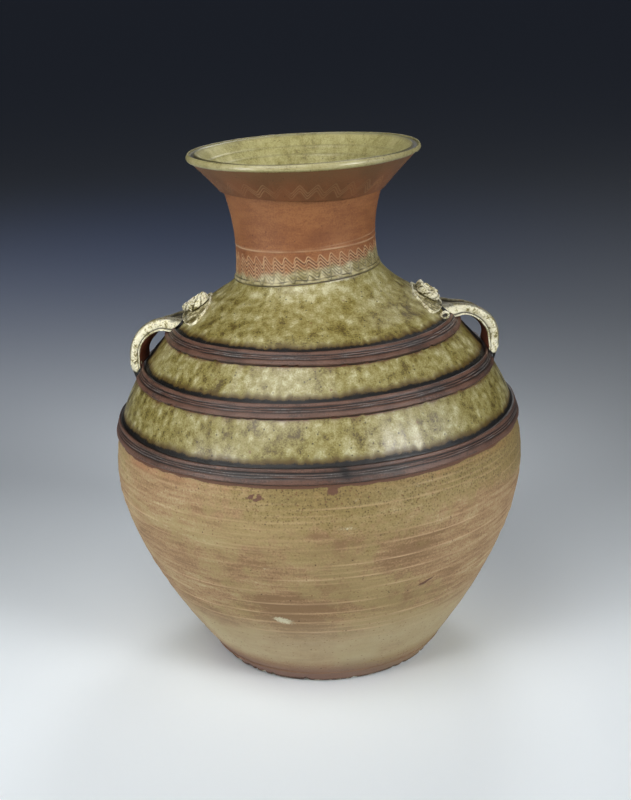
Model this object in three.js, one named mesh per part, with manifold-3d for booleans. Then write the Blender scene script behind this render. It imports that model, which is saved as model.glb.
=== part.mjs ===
// Ash-glazed stoneware storage jar with two strap handles, in millimetres, +Z up.
// The origin is the centre of the flat base. The handles lie on the X axis and their loops open along Y.
// Every piece is the clay that a potter shapes by itself and lutes on with slip: the base slab, the two
// halves of the body, the neck, the mouth, three ridged bands, two straps and two rolled scrolls.

import * as THREE from 'three';
import { mergeVertices } from 'three/addons/utils/BufferGeometryUtils.js';
import Module from 'manifold-3d';

const wasm = await Module();
wasm.setup();

// Clay walls and the slip between luted pieces
const BODY_WALL = 8;
const NECK_WALL = 7;
const LUTING = 0.3;
const SEAM_BEVEL = 5;

// Base slab
const FOOT_RADIUS = 76.5;
const BASE_THICKNESS = 10;
const HEEL_BEVEL = 2.5;
const FOOT_SEAT = 14;

// Body outline: foot, belly, shoulder and neck root, each height counted from the one below it
const FOOT_SLOPE_DEGREES = 49.5;
const FOOT_REACH = 33;
const BELLY_RADIUS = 144;
const BELLY_HEIGHT = 144;
const BELLY_REACH = 49.5;
const SHOULDER_RADIUS = 86;
const SHOULDER_RISE = 105.9;
const SHOULDER_SLOPE_DEGREES = 37.5;
const SHOULDER_REACH_DOWN = 24;
const SHOULDER_REACH_UP = 4;
const NECK_ROOT_RADIUS = 50;
const NECK_ROOT_RISE = 28.1;
const NECK_ROOT_SLOPE_DEGREES = 68;
const NECK_ROOT_REACH = 13;

// Neck and flared mouth
const NECK_LENGTH = 56;
const NECK_TOP_RADIUS = 54.2;
const NECK_WAIST = 3.5;
const ROOT_BEAD = 1.2;
const ROOT_BEAD_HEIGHT = 1.8;
const STEP_OVERHANG = 2.6;
const FLARE_RISE = 21.8;
const FLARE_SAG = 1;
const RIM_RADIUS = 79;
const LIP_HEIGHT = 4.2;
const LIP_UNDERCUT = 2.4;
const RIM_WIDTH = 6.8;
const RIM_CHANNEL = 1.6;

// Ridged bands, at the height of their middles above the belly
const LOWER_BAND_RISE = 31.5;
const MIDDLE_BAND_RISE = 67.9;
const UPPER_BAND_RISE = 94.8;
const BAND_WIDTH = 10.8;
const BAND_RIDGE = 2.6;
const BAND_GROOVE = 1.3;
const BAND_EDGE = 1;
const BAND_RIDGES = 3;

// Strap handles
const STRAP_WIDTH = 17;
const STRAP_THICKNESS = 8;
const STRAP_BEND = 18;
const STRAP_TAIL = 3;
const STRAP_BURIED = 5;
const HANDLE_FOOT_RISE = 68.5;
const HANDLE_TOP_RISE = 104;
const HANDLE_STANDOFF = 8.4;
const EDGE_ROLL = 3.6;
const EDGE_GROOVE = 1.8;
const STRAP_CORNER = 1.3;
const ROOT_SPREAD = 0.9;
const ROOT_SPREAD_REACH = 10;

// Rolled scrolls above the handles
const SCROLL_ROLL = 3.6;
const SCROLL_RADIUS = 9.6;
const SCROLL_PITCH = 5.9;
const SCROLL_TURNS = 0.95;
const SCROLL_SQUEEZE = 0.7;
const SCROLL_RISE = 110;

// Fineness of the faceted solids
const SIDES = 48;
const WALL_STEPS = 11;
const NECK_STEPS = 8;
const FLARE_STEPS = 4;
const STRAP_STEPS = 22;
const ROLL_SIDES = 8;
const SCROLL_STEPS = 44;

// Heights that follow from the sizes above
const SHOULDER_HEIGHT = BELLY_HEIGHT + SHOULDER_RISE;
const NECK_ROOT_HEIGHT = SHOULDER_HEIGHT + NECK_ROOT_RISE;
const NECK_TOP_HEIGHT = NECK_ROOT_HEIGHT + NECK_LENGTH;
const LIP_BOTTOM_HEIGHT = NECK_TOP_HEIGHT + FLARE_RISE;
const RIM_HEIGHT = LIP_BOTTOM_HEIGHT + LIP_HEIGHT;
const BODY_SEAM_HEIGHT = BELLY_HEIGHT + LOWER_BAND_RISE;

const ASH_GLAZE = { color: 0x8f8549, roughness: 0.32, metalness: 0 };
const BARE_CLAY = { color: 0xa9764a, roughness: 0.78, metalness: 0 };
const NECK_CLAY = { color: 0x9c5f38, roughness: 0.62, metalness: 0 };
const IRON_SLIP = { color: 0x59393a, roughness: 0.42, metalness: 0 };

const point = (radius, height) => new THREE.Vector2(radius, height);

/** A point that lies a given way from another, along a slope in degrees above the horizontal. */
function along(start, slope, distance) {
  const angle = THREE.MathUtils.degToRad(slope);
  return point(start.x + distance * Math.cos(angle), start.y + distance * Math.sin(angle));
}

// The outer line of the body: a bowl up to the belly, a dome over it and a hollow cone to the neck
const foot = point(FOOT_RADIUS, 0);
const belly = point(BELLY_RADIUS, BELLY_HEIGHT);
const shoulder = point(SHOULDER_RADIUS, SHOULDER_HEIGHT);
const neckRoot = point(NECK_ROOT_RADIUS, NECK_ROOT_HEIGHT);
const bodyOutline = [
  new THREE.CubicBezierCurve(
    foot, along(foot, FOOT_SLOPE_DEGREES, FOOT_REACH), along(belly, -90, BELLY_REACH), belly),
  new THREE.CubicBezierCurve(
    belly, along(belly, 90, BELLY_REACH),
    along(shoulder, -SHOULDER_SLOPE_DEGREES, SHOULDER_REACH_DOWN), shoulder),
  new THREE.CubicBezierCurve(
    shoulder, along(shoulder, -SHOULDER_SLOPE_DEGREES, -SHOULDER_REACH_UP),
    along(neckRoot, -NECK_ROOT_SLOPE_DEGREES, NECK_ROOT_REACH), neckRoot),
];

/** The point of a rising curve at a height, found by halving, with the curve's outward normal there. */
function atHeight(curve, height) {
  let low = 0;
  let high = 1;
  for (let halving = 0; halving < 40; halving += 1) {
    const middle = (low + high) / 2;
    if (curve.getPoint(middle).y < height) low = middle;
    else high = middle;
  }
  const tangent = curve.getTangent(low);
  return { place: curve.getPoint(low), tangent, normal: point(tangent.y, -tangent.x) };
}

/** The body's outer surface at a height. */
function bodyAt(height) {
  const curve = bodyOutline.find((part) => height <= part.getPoint(1).y) ?? bodyOutline.at(-1);
  return atHeight(curve, height);
}

/** The point that lies off the body's outer surface, outwards where the distance is positive. */
function offBody(height, distance) {
  const { place, normal } = bodyAt(height);
  return place.addScaledVector(normal, distance);
}

/** Evenly spaced numbers from one value to another, both included. */
function evenly(from, to, steps) {
  return Array.from({ length: steps + 1 }, (_, step) => THREE.MathUtils.lerp(from, to, step / steps));
}

/** A closed solid with shared vertices and no faces that have shrunk to a line. */
function welded(geometry) {
  geometry.deleteAttribute('normal');
  geometry.deleteAttribute('uv');
  const merged = mergeVertices(geometry);
  const corners = merged.getIndex().array;
  const kept = [];
  for (let face = 0; face < corners.length; face += 3) {
    const [a, b, c] = corners.slice(face, face + 3);
    if (a !== b && b !== c && c !== a) kept.push(a, b, c);
  }
  merged.setIndex(kept);
  return merged;
}

/** A profile turned round the Z axis. Its outer line runs upwards. */
function turned(profile) {
  return welded(new THREE.LatheGeometry(profile, SIDES).rotateX(Math.PI / 2));
}

/** A ring whose profile closes on itself. */
function turnedRing(profile) {
  return turned([...profile, profile[0].clone()]);
}

/** Flat slab with a worn heel, following the body's line above it. */
function baseDisc() {
  return turned([
    point(0, 0),
    point(bodyAt(HEEL_BEVEL).place.x - HEEL_BEVEL, 0),
    bodyAt(HEEL_BEVEL).place,
    bodyAt(BASE_THICKNESS).place,
    point(0, BASE_THICKNESS),
  ]);
}

/** Lower half of the body, thickened inside where it stands on the base, with a scarfed top edge. */
function lowerWall() {
  const bottom = BASE_THICKNESS + LUTING;
  const outer = evenly(bottom, BODY_SEAM_HEIGHT, WALL_STEPS).map((height) => offBody(height, 0));
  const inner = evenly(BODY_SEAM_HEIGHT - SEAM_BEVEL, bottom + BODY_WALL, WALL_STEPS)
    .map((height) => offBody(height, -BODY_WALL));
  return turnedRing([...outer, ...inner, point(outer[0].x - FOOT_SEAT, bottom)]);
}

/** Upper half of the body, from the scarfed seam behind the lower band up to the neck root. */
function shoulderWall() {
  const bottom = BODY_SEAM_HEIGHT + LUTING;
  const outer = evenly(bottom, NECK_ROOT_HEIGHT, WALL_STEPS).map((height) => offBody(height, 0));
  const inner = evenly(NECK_ROOT_HEIGHT - BODY_WALL, bottom - SEAM_BEVEL, WALL_STEPS)
    .map((height) => offBody(height, -BODY_WALL));
  const throat = point(NECK_ROOT_RADIUS - NECK_WALL, NECK_ROOT_HEIGHT);
  return turnedRing([...outer, throat, ...inner]);
}

/** Waisted neck with a bead round its root. */
function neckCollar() {
  const bottom = NECK_ROOT_HEIGHT + LUTING;
  const beadTop = bottom + ROOT_BEAD_HEIGHT;
  const third = NECK_LENGTH / 3;
  const line = new THREE.CubicBezierCurve(
    point(NECK_ROOT_RADIUS, bottom),
    point(NECK_ROOT_RADIUS - NECK_WAIST, bottom + third),
    point(NECK_ROOT_RADIUS - NECK_WAIST / 2, NECK_TOP_HEIGHT - third),
    point(NECK_TOP_RADIUS, NECK_TOP_HEIGHT),
  );
  const outer = evenly(beadTop + ROOT_BEAD, NECK_TOP_HEIGHT, NECK_STEPS)
    .map((height) => atHeight(line, height).place);
  const inner = evenly(NECK_TOP_HEIGHT, bottom, NECK_STEPS / 2)
    .map((height) => atHeight(line, height).place.sub(point(NECK_WALL, 0)));
  const bead = [
    point(NECK_ROOT_RADIUS + ROOT_BEAD, bottom),
    point(NECK_ROOT_RADIUS + ROOT_BEAD, beadTop),
  ];
  return turnedRing([...bead, ...outer, ...inner]);
}

/** Flared mouth that overhangs the neck in a sharp step, with a rounded lip and a channel on its rim. */
function mouthFlare() {
  const bottom = NECK_TOP_HEIGHT + LUTING;
  const stepRadius = NECK_TOP_RADIUS + STEP_OVERHANG;
  const underLip = point(RIM_RADIUS - LIP_UNDERCUT, LIP_BOTTOM_HEIGHT);
  const innerRim = RIM_RADIUS - RIM_WIDTH;
  const outside = new THREE.QuadraticBezierCurve(
    point(stepRadius, bottom),
    point((stepRadius + underLip.x) / 2 - FLARE_SAG, bottom + FLARE_RISE / 2),
    underLip,
  );
  const inside = new THREE.QuadraticBezierCurve(
    point(innerRim - RIM_CHANNEL, RIM_HEIGHT - RIM_CHANNEL),
    point(NECK_TOP_RADIUS - NECK_WALL + FLARE_RISE / 4, bottom + FLARE_RISE / 4),
    point(NECK_TOP_RADIUS - NECK_WALL, bottom),
  );
  const lip = [
    point(RIM_RADIUS - LIP_UNDERCUT / 4, LIP_BOTTOM_HEIGHT + LIP_HEIGHT / 4),
    point(RIM_RADIUS, LIP_BOTTOM_HEIGHT + LIP_HEIGHT / 2),
    point(RIM_RADIUS - LIP_UNDERCUT / 4, RIM_HEIGHT - LIP_HEIGHT / 8),
    point(RIM_RADIUS - LIP_UNDERCUT / 2, RIM_HEIGHT),
  ];
  const channel = [
    point(RIM_RADIUS - RIM_WIDTH / 2, RIM_HEIGHT - RIM_CHANNEL),
    point(innerRim + RIM_CHANNEL, RIM_HEIGHT - RIM_CHANNEL),
    point(innerRim, RIM_HEIGHT - RIM_CHANNEL / 2),
  ];
  return turnedRing([
    ...outside.getPoints(FLARE_STEPS),
    ...lip,
    ...channel,
    ...inside.getPoints(FLARE_STEPS),
  ]);
}

/** The heights and reliefs of a band's outer points, from its lower edge to its upper one. */
function bandRelief() {
  const relief = [{ share: 0, height: BAND_EDGE }];
  for (let ridge = 0; ridge < BAND_RIDGES; ridge += 1) {
    if (ridge > 0) relief.push({ share: ridge / BAND_RIDGES, height: BAND_GROOVE });
    relief.push({ share: (ridge + 0.5) / BAND_RIDGES, height: BAND_RIDGE });
  }
  return [...relief, { share: 1, height: BAND_EDGE }];
}

/** Ridged band pressed round the shoulder, grown outwards by a margin where it serves as a cutter. */
function ridgedBand(rise, margin = 0) {
  const middle = BELLY_HEIGHT + rise;
  const climb = bodyAt(middle).tangent.y * (BAND_WIDTH / 2 + margin);
  const heightAt = (share) => THREE.MathUtils.lerp(middle - climb, middle + climb, share);
  const outer = bandRelief().map(({ share, height }) => offBody(heightAt(share), LUTING + height + margin));
  const inner = [1, 0.5, 0].map((share) => offBody(heightAt(share), LUTING - 2 * margin));
  return turnedRing([...outer, ...inner]);
}

/** The body with its slip on, as a plug that straps are cut back from. */
function slippedBody() {
  const line = evenly(BODY_SEAM_HEIGHT, NECK_ROOT_HEIGHT, 2 * WALL_STEPS)
    .map((height) => offBody(height, LUTING));
  return turned([point(0, line[0].y), ...line, point(0, line.at(-1).y)]);
}

/** A solid that can be joined and cut. */
function solid(geometry) {
  return new wasm.Manifold(new wasm.Mesh({
    numProp: 3,
    vertProperties: new Float32Array(geometry.getAttribute('position').array),
    triVerts: new Uint32Array(geometry.getIndex().array),
  }));
}

/** The geometry of a solid that was joined or cut. */
function fromSolid(shape) {
  const { vertProperties, triVerts } = shape.getMesh();
  const geometry = new THREE.BufferGeometry();
  geometry.setAttribute('position', new THREE.BufferAttribute(vertProperties, 3));
  geometry.setIndex(new THREE.BufferAttribute(triVerts, 1));
  return geometry;
}

/** Cross-section of a strap, whose rolled edges stand above its outer face. */
function strapSection() {
  const side = STRAP_WIDTH / 2;
  const face = STRAP_THICKNESS / 2;
  const half = [
    point(side - STRAP_CORNER, -face),
    point(side, STRAP_CORNER - face),
    point(side, face - STRAP_CORNER),
    point(side - STRAP_CORNER, face),
    point(side - EDGE_ROLL, face),
    point(side - EDGE_ROLL - EDGE_GROOVE, face - EDGE_GROOVE),
  ];
  const mirrored = half.map(({ x, y }) => point(-x, y)).reverse();
  return new THREE.Shape([...half, ...mirrored]);
}

/** Middle line of a strap, from its tail in the lower wall, up, over and into the shoulder. */
function strapLine() {
  const footHeight = BELLY_HEIGHT + HANDLE_FOOT_RISE;
  const topHeight = BELLY_HEIGHT + HANDLE_TOP_RISE - STRAP_THICKNESS / 2;
  const reach = bodyAt(footHeight).place.x + HANDLE_STANDOFF - STRAP_THICKNESS / 2;
  const root = bodyAt(topHeight).place.x - STRAP_BURIED;
  const line = new THREE.Path();
  line.moveTo(reach - STRAP_TAIL / 2, footHeight - STRAP_TAIL);
  line.quadraticCurveTo(reach, footHeight, reach, topHeight - STRAP_BEND);
  line.bezierCurveTo(
    reach, topHeight - STRAP_BEND / 2, reach - STRAP_BEND / 3, topHeight, reach - STRAP_BEND, topHeight);
  line.lineTo(root, topHeight);
  const stations = line.getSpacedPoints(STRAP_STEPS).map(({ x, y }) => new THREE.Vector3(x, 0, y));
  return new THREE.CatmullRomCurve3(stations);
}

/** Strap handle, spread where it is thumbed down and cut to seat on the slip, the wall and the bands. */
function strapHandle() {
  const strap = new THREE.ExtrudeGeometry(
    strapSection(), { steps: STRAP_STEPS, extrudePath: strapLine(), bevelEnabled: false });
  const places = strap.getAttribute('position');
  for (let index = 0; index < places.count; index += 1) {
    const clear = places.getX(index) - bodyAt(places.getZ(index)).place.x;
    const nearness = 1 - THREE.MathUtils.smoothstep(clear, 0, ROOT_SPREAD_REACH);
    places.setY(index, places.getY(index) * (1 + ROOT_SPREAD * nearness));
  }
  const seats = [slippedBody(), ridgedBand(UPPER_BAND_RISE, LUTING), ridgedBand(MIDDLE_BAND_RISE, LUTING)];
  return fromSolid(seats.map(solid).reduce((shape, seat) => shape.subtract(seat), solid(welded(strap))));
}

/** The S that a scroll's roll follows: two spirals joined in the middle, the second one turned about. */
function scrollTrace() {
  const turns = evenly(0, SCROLL_TURNS, SCROLL_STEPS / 2);
  const spiral = turns.map((turn) => {
    const angle = Math.PI - turn * 2 * Math.PI;
    const radius = SCROLL_RADIUS - turn * SCROLL_PITCH;
    return point(SCROLL_SQUEEZE * (SCROLL_RADIUS + radius * Math.cos(angle)), radius * Math.sin(angle));
  });
  const other = spiral.slice(1).map(({ x, y }) => point(-x, -y)).reverse();
  return [...other, ...spiral];
}

/** Scroll of rolled clay laid on the shoulder's slope, facing along +X. */
function rolledScroll() {
  const height = BELLY_HEIGHT + SCROLL_RISE;
  const { place, tangent } = bodyAt(height);
  const stations = scrollTrace().map(({ x, y }) => {
    const spot = offBody(height + y * tangent.y, LUTING + SCROLL_ROLL / 2);
    const angle = x / place.x;
    return new THREE.Vector3(spot.x * Math.cos(angle), spot.x * Math.sin(angle), spot.y);
  });
  const section = new THREE.Shape().absarc(0, 0, SCROLL_ROLL / 2, 0, 2 * Math.PI);
  return welded(new THREE.ExtrudeGeometry(section, {
    steps: SCROLL_STEPS,
    curveSegments: ROLL_SIDES / 2,
    extrudePath: new THREE.CatmullRomCurve3(stations),
    bevelEnabled: false,
  }));
}

/** A named piece in its own finish. */
function piece(name, geometry, finish) {
  const mesh = new THREE.Mesh(geometry, new THREE.MeshStandardMaterial(finish));
  mesh.name = name;
  return mesh;
}

/** The same piece on the jar's other side, half a turn away. */
function opposite(mesh) {
  mesh.rotation.z = Math.PI;
  return mesh;
}

const jar = new THREE.Group();
jar.name = 'stoneware_jar';
jar.add(
  piece('base_disc', baseDisc(), BARE_CLAY),
  piece('lower_wall', lowerWall(), BARE_CLAY),
  piece('shoulder_wall', shoulderWall(), ASH_GLAZE),
  piece('neck_collar', neckCollar(), NECK_CLAY),
  piece('mouth_flare', mouthFlare(), ASH_GLAZE),
  piece('lower_band', ridgedBand(LOWER_BAND_RISE), IRON_SLIP),
  piece('middle_band', ridgedBand(MIDDLE_BAND_RISE), IRON_SLIP),
  piece('upper_band', ridgedBand(UPPER_BAND_RISE), IRON_SLIP),
  piece('right_handle', strapHandle(), ASH_GLAZE),
  opposite(piece('left_handle', strapHandle(), ASH_GLAZE)),
  piece('right_scroll', rolledScroll(), ASH_GLAZE),
  opposite(piece('left_scroll', rolledScroll(), ASH_GLAZE)),
);

export default jar;
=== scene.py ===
"""Looks of an ash-glazed stoneware storage jar with two strap handles, in metres, +Z up.

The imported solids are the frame. Each of them is remade here as a finer piece of clay on the same lines and
dressed in its finish: bare clay with throwing lines, run ash glaze, iron slip on the bands, combed waves on
the neck. Angles called front are counted from the jar's front, which faces -Y, and grow towards +X.
"""

import logging
import math
from dataclasses import dataclass, field, replace
from enum import Enum
from typing import Sequence

import bpy
import numpy as np
from mathutils import Matrix, Vector


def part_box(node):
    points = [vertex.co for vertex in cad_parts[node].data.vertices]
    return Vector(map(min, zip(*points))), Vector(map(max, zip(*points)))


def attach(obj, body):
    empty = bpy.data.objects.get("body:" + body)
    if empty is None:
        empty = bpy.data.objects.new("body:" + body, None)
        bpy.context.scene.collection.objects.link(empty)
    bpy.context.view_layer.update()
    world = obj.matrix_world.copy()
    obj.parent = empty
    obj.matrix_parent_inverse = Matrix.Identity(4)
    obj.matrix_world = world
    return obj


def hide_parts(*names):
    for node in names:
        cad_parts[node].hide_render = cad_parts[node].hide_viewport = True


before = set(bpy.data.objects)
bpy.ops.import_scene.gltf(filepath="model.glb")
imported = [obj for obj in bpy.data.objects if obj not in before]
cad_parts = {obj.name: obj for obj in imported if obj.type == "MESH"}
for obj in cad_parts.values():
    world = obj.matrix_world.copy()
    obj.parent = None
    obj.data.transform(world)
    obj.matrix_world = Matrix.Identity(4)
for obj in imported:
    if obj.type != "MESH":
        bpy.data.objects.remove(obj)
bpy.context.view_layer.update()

BODY = "root"
PICTURE = (631, 800)
TINY = 1e-9
MM = 0.001
LOG = logging.getLogger("stoneware_jar")

Colour = tuple[float, float, float, float]


class Slot(str, Enum):
    """The record's finishes."""

    BARE_CLAY = "bare_clay"
    ASH_GLAZE = "ash_glaze"
    NECK_CLAY = "neck_clay"
    MOUTH_GLAZE = "mouth_glaze"
    IRON_SLIP = "iron_slip"
    HANDLE_GLAZE = "handle_glaze"


class Side(Enum):
    """The side of the jar that a handle stands on, as a turn about the axis."""

    RIGHT = 0.0
    LEFT = math.pi


def tone(code: str) -> Colour:
    """Linear colour of a six-figure shade.

    Args:
        code: Red, green and blue, two hexadecimal figures each.

    Returns:
        The colour that the shader sockets take.
    """
    shares = [int(code[at:at + 2], 16) / 255 for at in (0, 2, 4)]
    red, green, blue = (s / 12.92 if s <= 0.04045 else ((s + 0.055) / 1.055) ** 2.4 for s in shares)
    return red, green, blue, 1.0


def smooth(low: float, high: float, value: np.ndarray) -> np.ndarray:
    """Eased step.

    Args:
        low: Where the step starts.
        high: Where it ends, below low for a step that falls.
        value: Numbers to ease.

    Returns:
        0 before the step, 1 after it.
    """
    share = np.clip((value - low) / (high - low), 0, 1)
    return share * share * (3 - 2 * share)


def swell(offset: np.ndarray, width: float | np.ndarray) -> np.ndarray:
    """Bell of height 1 round zero, about twice the width across."""
    return np.exp(-((offset / width) ** 2))


def bezier(*controls: Sequence[float], steps: int = 240) -> np.ndarray:
    """Points of a curve.

    Args:
        controls: Its three or four controls, as radius and height.
        steps: How many points to take.

    Returns:
        The points, first to last.
    """
    share = np.linspace(0, 1, steps)[:, None]
    order = len(controls) - 1
    terms = [math.comb(order, k) * share**k * (1 - share) ** (order - k) * np.array(c)
             for k, c in enumerate(controls)]
    return np.sum(terms, axis=0)


def evened(line: np.ndarray, step: float) -> np.ndarray:
    """The same line with points about one step apart.

    Args:
        line: Points to follow.
        step: Length between the new points.

    Returns:
        The new points, both ends kept.
    """
    run = np.concatenate([[0], np.cumsum(np.linalg.norm(np.diff(line, axis=0), axis=1))])
    stops = np.linspace(0, run[-1], max(2, round(run[-1] / step) + 1))
    return np.stack([np.interp(stops, run, line[:, axis]) for axis in range(line.shape[1])], axis=1)


def softened(line: np.ndarray, rounds: int, closed: bool = False) -> np.ndarray:
    """The line with its corners cut again and again, until they are round.

    Args:
        line: Corner points.
        rounds: How often the corners are cut.
        closed: Whether the last point joins the first.

    Returns:
        The rounder line.
    """
    for _ in range(rounds):
        after = np.roll(line, -1, axis=0) if closed else line[1:]
        before = line if closed else line[:-1]
        cut = np.stack([0.75 * before + 0.25 * after, 0.25 * before + 0.75 * after], axis=1)
        cut = cut.reshape(-1, line.shape[1])
        line = cut if closed else np.vstack([line[:1], cut, line[-1:]])
    return line


@dataclass(frozen=True)
class Wander:
    """Seeded unevenness that closes on itself round the jar and stays mostly within -1 to 1.

    Attributes:
        seed: Chooses the pattern.
        most: Most waves in one turn.
        rise: Height over which it changes.
        least: Fewest waves in one turn.
        terms: How many waves are laid over each other.
    """

    seed: int
    most: int
    rise: float
    least: int = 1
    terms: int = 16

    def at(self, angle: np.ndarray, height: np.ndarray | float) -> np.ndarray:
        """Value at each angle and height."""
        dice = np.random.default_rng(self.seed)
        total = 0.0
        for _ in range(self.terms):
            waves = int(dice.integers(self.least, self.most + 1))
            climb = dice.normal() / self.rise
            total = total + np.cos(waves * angle + climb * height + dice.uniform(0, 2 * math.pi))
        return 0.65 * total / math.sqrt(self.terms / 2)


@dataclass
class BodyLine:
    """Outer line of the body: a bowl up to the belly, a dome over it and a hollow cone to the neck."""

    foot_radius: float = 0.0765
    foot_slope: float = 49.5
    foot_reach: float = 0.033
    belly_radius: float = float(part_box("lower_wall")[1][0])
    belly_height: float = 0.144
    belly_reach: float = 0.0495
    shoulder_radius: float = 0.086
    shoulder_rise: float = 0.1059
    shoulder_slope: float = 37.5
    shoulder_reach_down: float = 0.024
    shoulder_reach_up: float = 0.004
    neck_root_radius: float = 0.050
    neck_root_height: float = float(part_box("shoulder_wall")[1][2])
    neck_root_slope: float = 68.0
    neck_root_reach: float = 0.013
    wall: float = 0.008
    sway: float = 0.0003
    probe: float = 0.0005
    samples: int = 600
    points: np.ndarray = field(init=False, repr=False)

    def __post_init__(self) -> None:
        """Lays the three curves end to end."""
        foot = np.array([self.foot_radius, 0.0])
        belly = np.array([self.belly_radius, self.belly_height])
        shoulder = np.array([self.shoulder_radius, self.belly_height + self.shoulder_rise])
        root = np.array([self.neck_root_radius, self.neck_root_height])
        upright = np.array([0.0, self.belly_reach])
        down = self.aim(-self.shoulder_slope)
        self.points = np.vstack([
            bezier(foot, foot + self.foot_reach * self.aim(self.foot_slope), belly - upright, belly),
            bezier(belly, belly + upright, shoulder + self.shoulder_reach_down * down, shoulder)[1:],
            bezier(shoulder, shoulder - self.shoulder_reach_up * down,
                   root + self.neck_root_reach * self.aim(-self.neck_root_slope), root)[1:],
        ])

    @staticmethod
    def aim(slope: float) -> np.ndarray:
        """Direction of a slope in degrees above the horizontal."""
        return np.array([math.cos(math.radians(slope)), math.sin(math.radians(slope))])

    def radius(self, height: np.ndarray | float) -> np.ndarray:
        """Radius at each height."""
        return np.interp(height, self.points[:, 1], self.points[:, 0])

    def climb(self, height: np.ndarray | float) -> np.ndarray:
        """Rise for each step along the wall, at each height."""
        step = self.probe
        return 1 / np.hypot(1, (self.radius(height + step) - self.radius(height - step)) / (2 * step))

    def lean(self, height: np.ndarray | float) -> np.ndarray:
        """Upward share of the wall's outward normal, at each height."""
        step = self.probe
        return self.climb(height) * (self.radius(height - step) - self.radius(height + step)) / (2 * step)

    def between(self, low: float, high: float, step: float) -> np.ndarray:
        """Points of the line.

        Args:
            low: Height of the first.
            high: Height of the last.
            step: Length between them.

        Returns:
            Radius and height of each.
        """
        heights = np.linspace(low, high, self.samples)
        return evened(np.stack([self.radius(heights), heights], axis=1), step)

    def inside(self, high: float, low: float, step: float) -> np.ndarray:
        """Points of the wall's inner face, from the top down.

        Args:
            high: Height of the outer line at the first.
            low: Height of the outer line at the last.
            step: Length between them.

        Returns:
            Radius and height of each.
        """
        outer = self.between(low, high, step)[::-1]
        heights = outer[:, 1]
        normal = np.stack([self.climb(heights), self.lean(heights)], axis=1)
        return outer - self.wall * normal

    def uneven(self, angle: np.ndarray, height: np.ndarray | float) -> np.ndarray:
        """How far the thrown wall stands off its line, never outwards."""
        swing = Wander(seed=3, most=4, rise=0.08).at(angle, height)
        return np.minimum(self.sway * (swing - 1.4), 0.0)


@dataclass(frozen=True)
class SoftNeck:
    """How the soft neck settled: off the axis, and lower or higher round its root, its step and its rim.

    Attributes:
        base: Height below which the wall kept its shape.
        root: Height of the neck's root.
        step: Height of the step under the mouth.
        lip: Height above which the rim settled as one.
        shifts: Shift along X at each of those heights.
        root_dip: How far the root sank, all round and to the right.
        step_dip: The same for the step, and to the front.
        rim_dip: How far the rim's front sank.
    """

    base: float = 0.262
    root: float = 0.278
    step: float = 0.334
    lip: float = 0.3555
    shifts: tuple[float, float, float, float] = (0.0, -0.0019, -0.0028, -0.0003)
    root_dip: tuple[float, float] = (0.0015, -0.0033)
    step_dip: tuple[float, float, float] = (0.00145, 0.00225, 0.00155)
    rim_dip: float = 0.0016

    def aside(self, height: np.ndarray) -> np.ndarray:
        """Shift along X at each height."""
        return np.interp(height, (self.base, self.root, self.step, self.lip), self.shifts)

    def dip(self, front: np.ndarray, height: np.ndarray) -> np.ndarray:
        """How far each point sank, at its angle from the front and its height."""
        even, right = self.root_dip
        at_root = even + right * np.sin(front)
        even, right, ahead = self.step_dip
        at_step = even + right * np.sin(front) + ahead * np.cos(front)
        at_rim = self.rim_dip * np.cos(front / 2) ** 3
        return (at_root * np.interp(height, (self.base, self.root, self.step), (0, 1, 0))
                + at_step * np.interp(height, (self.root, self.step, self.lip), (0, 1, 0))
                + at_rim * np.interp(height, (self.step, self.lip), (0, 1)))


@dataclass(frozen=True)
class Spot:
    """Soft oval patch on a turned surface.

    Attributes:
        front: Angle of its middle from the front, in degrees.
        height: Height of its middle.
        wide: Half its width.
        tall: Half its height.
        tilt: How far it climbs for each step to the right.
        share: Its strength at the middle.
    """

    front: float
    height: float
    wide: float
    tall: float
    tilt: float = 0.0
    share: float = 1.0


@dataclass
class Sheet:
    """Points in rows and columns that make one skin of clay.

    Attributes:
        points: Row, column and axis.
        marks: Named numbers at each point, for the finishes.
        rows_close: Whether the last row joins the first.
        capped: Whether the first and last rows are closed by a face each.
    """

    points: np.ndarray
    marks: dict[str, np.ndarray]
    rows_close: bool = False
    capped: bool = False

    def faces(self, start: int) -> list[list[int]]:
        """Faces of the sheet.

        Args:
            start: Number of its first point in the piece.

        Returns:
            The points of each face, counted in the piece.
        """
        rows, columns = self.points.shape[:2]
        grid = start + np.arange(rows * columns).reshape(rows, columns)
        upper = np.roll(grid, -1, axis=0)
        if not self.rows_close:
            grid, upper = grid[:-1], upper[:-1]
        beside = np.roll(grid, -1, axis=1)
        above = np.roll(upper, -1, axis=1)
        found = np.stack([grid, beside, above, upper], axis=-1).reshape(-1, 4).tolist()
        if self.capped:
            found.append(grid[0, ::-1].tolist())
            found.append(upper[-1].tolist())
        return found


def piece(name: str, sheets: Sequence[Sheet]) -> bpy.types.Object:
    """One piece of clay from its sheets.

    Args:
        name: The piece's name.
        sheets: Its skins, all with the same marks.

    Returns:
        The object, in place.
    """
    faces, start = [], 0
    for sheet in sheets:
        faces += sheet.faces(start)
        start += sheet.points.shape[0] * sheet.points.shape[1]
    mesh = bpy.data.meshes.new(name)
    mesh.from_pydata(np.vstack([s.points.reshape(-1, 3) for s in sheets]).tolist(), [], faces)
    for mark in sheets[0].marks:
        numbers = np.concatenate([s.marks[mark].reshape(-1) for s in sheets]).astype(np.float32)
        mesh.attributes.new(mark, "FLOAT", "POINT").data.foreach_set("value", numbers)
    mesh.shade_smooth()
    made = bpy.data.objects.new(name, mesh)
    bpy.context.scene.collection.objects.link(made)
    return made


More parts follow.
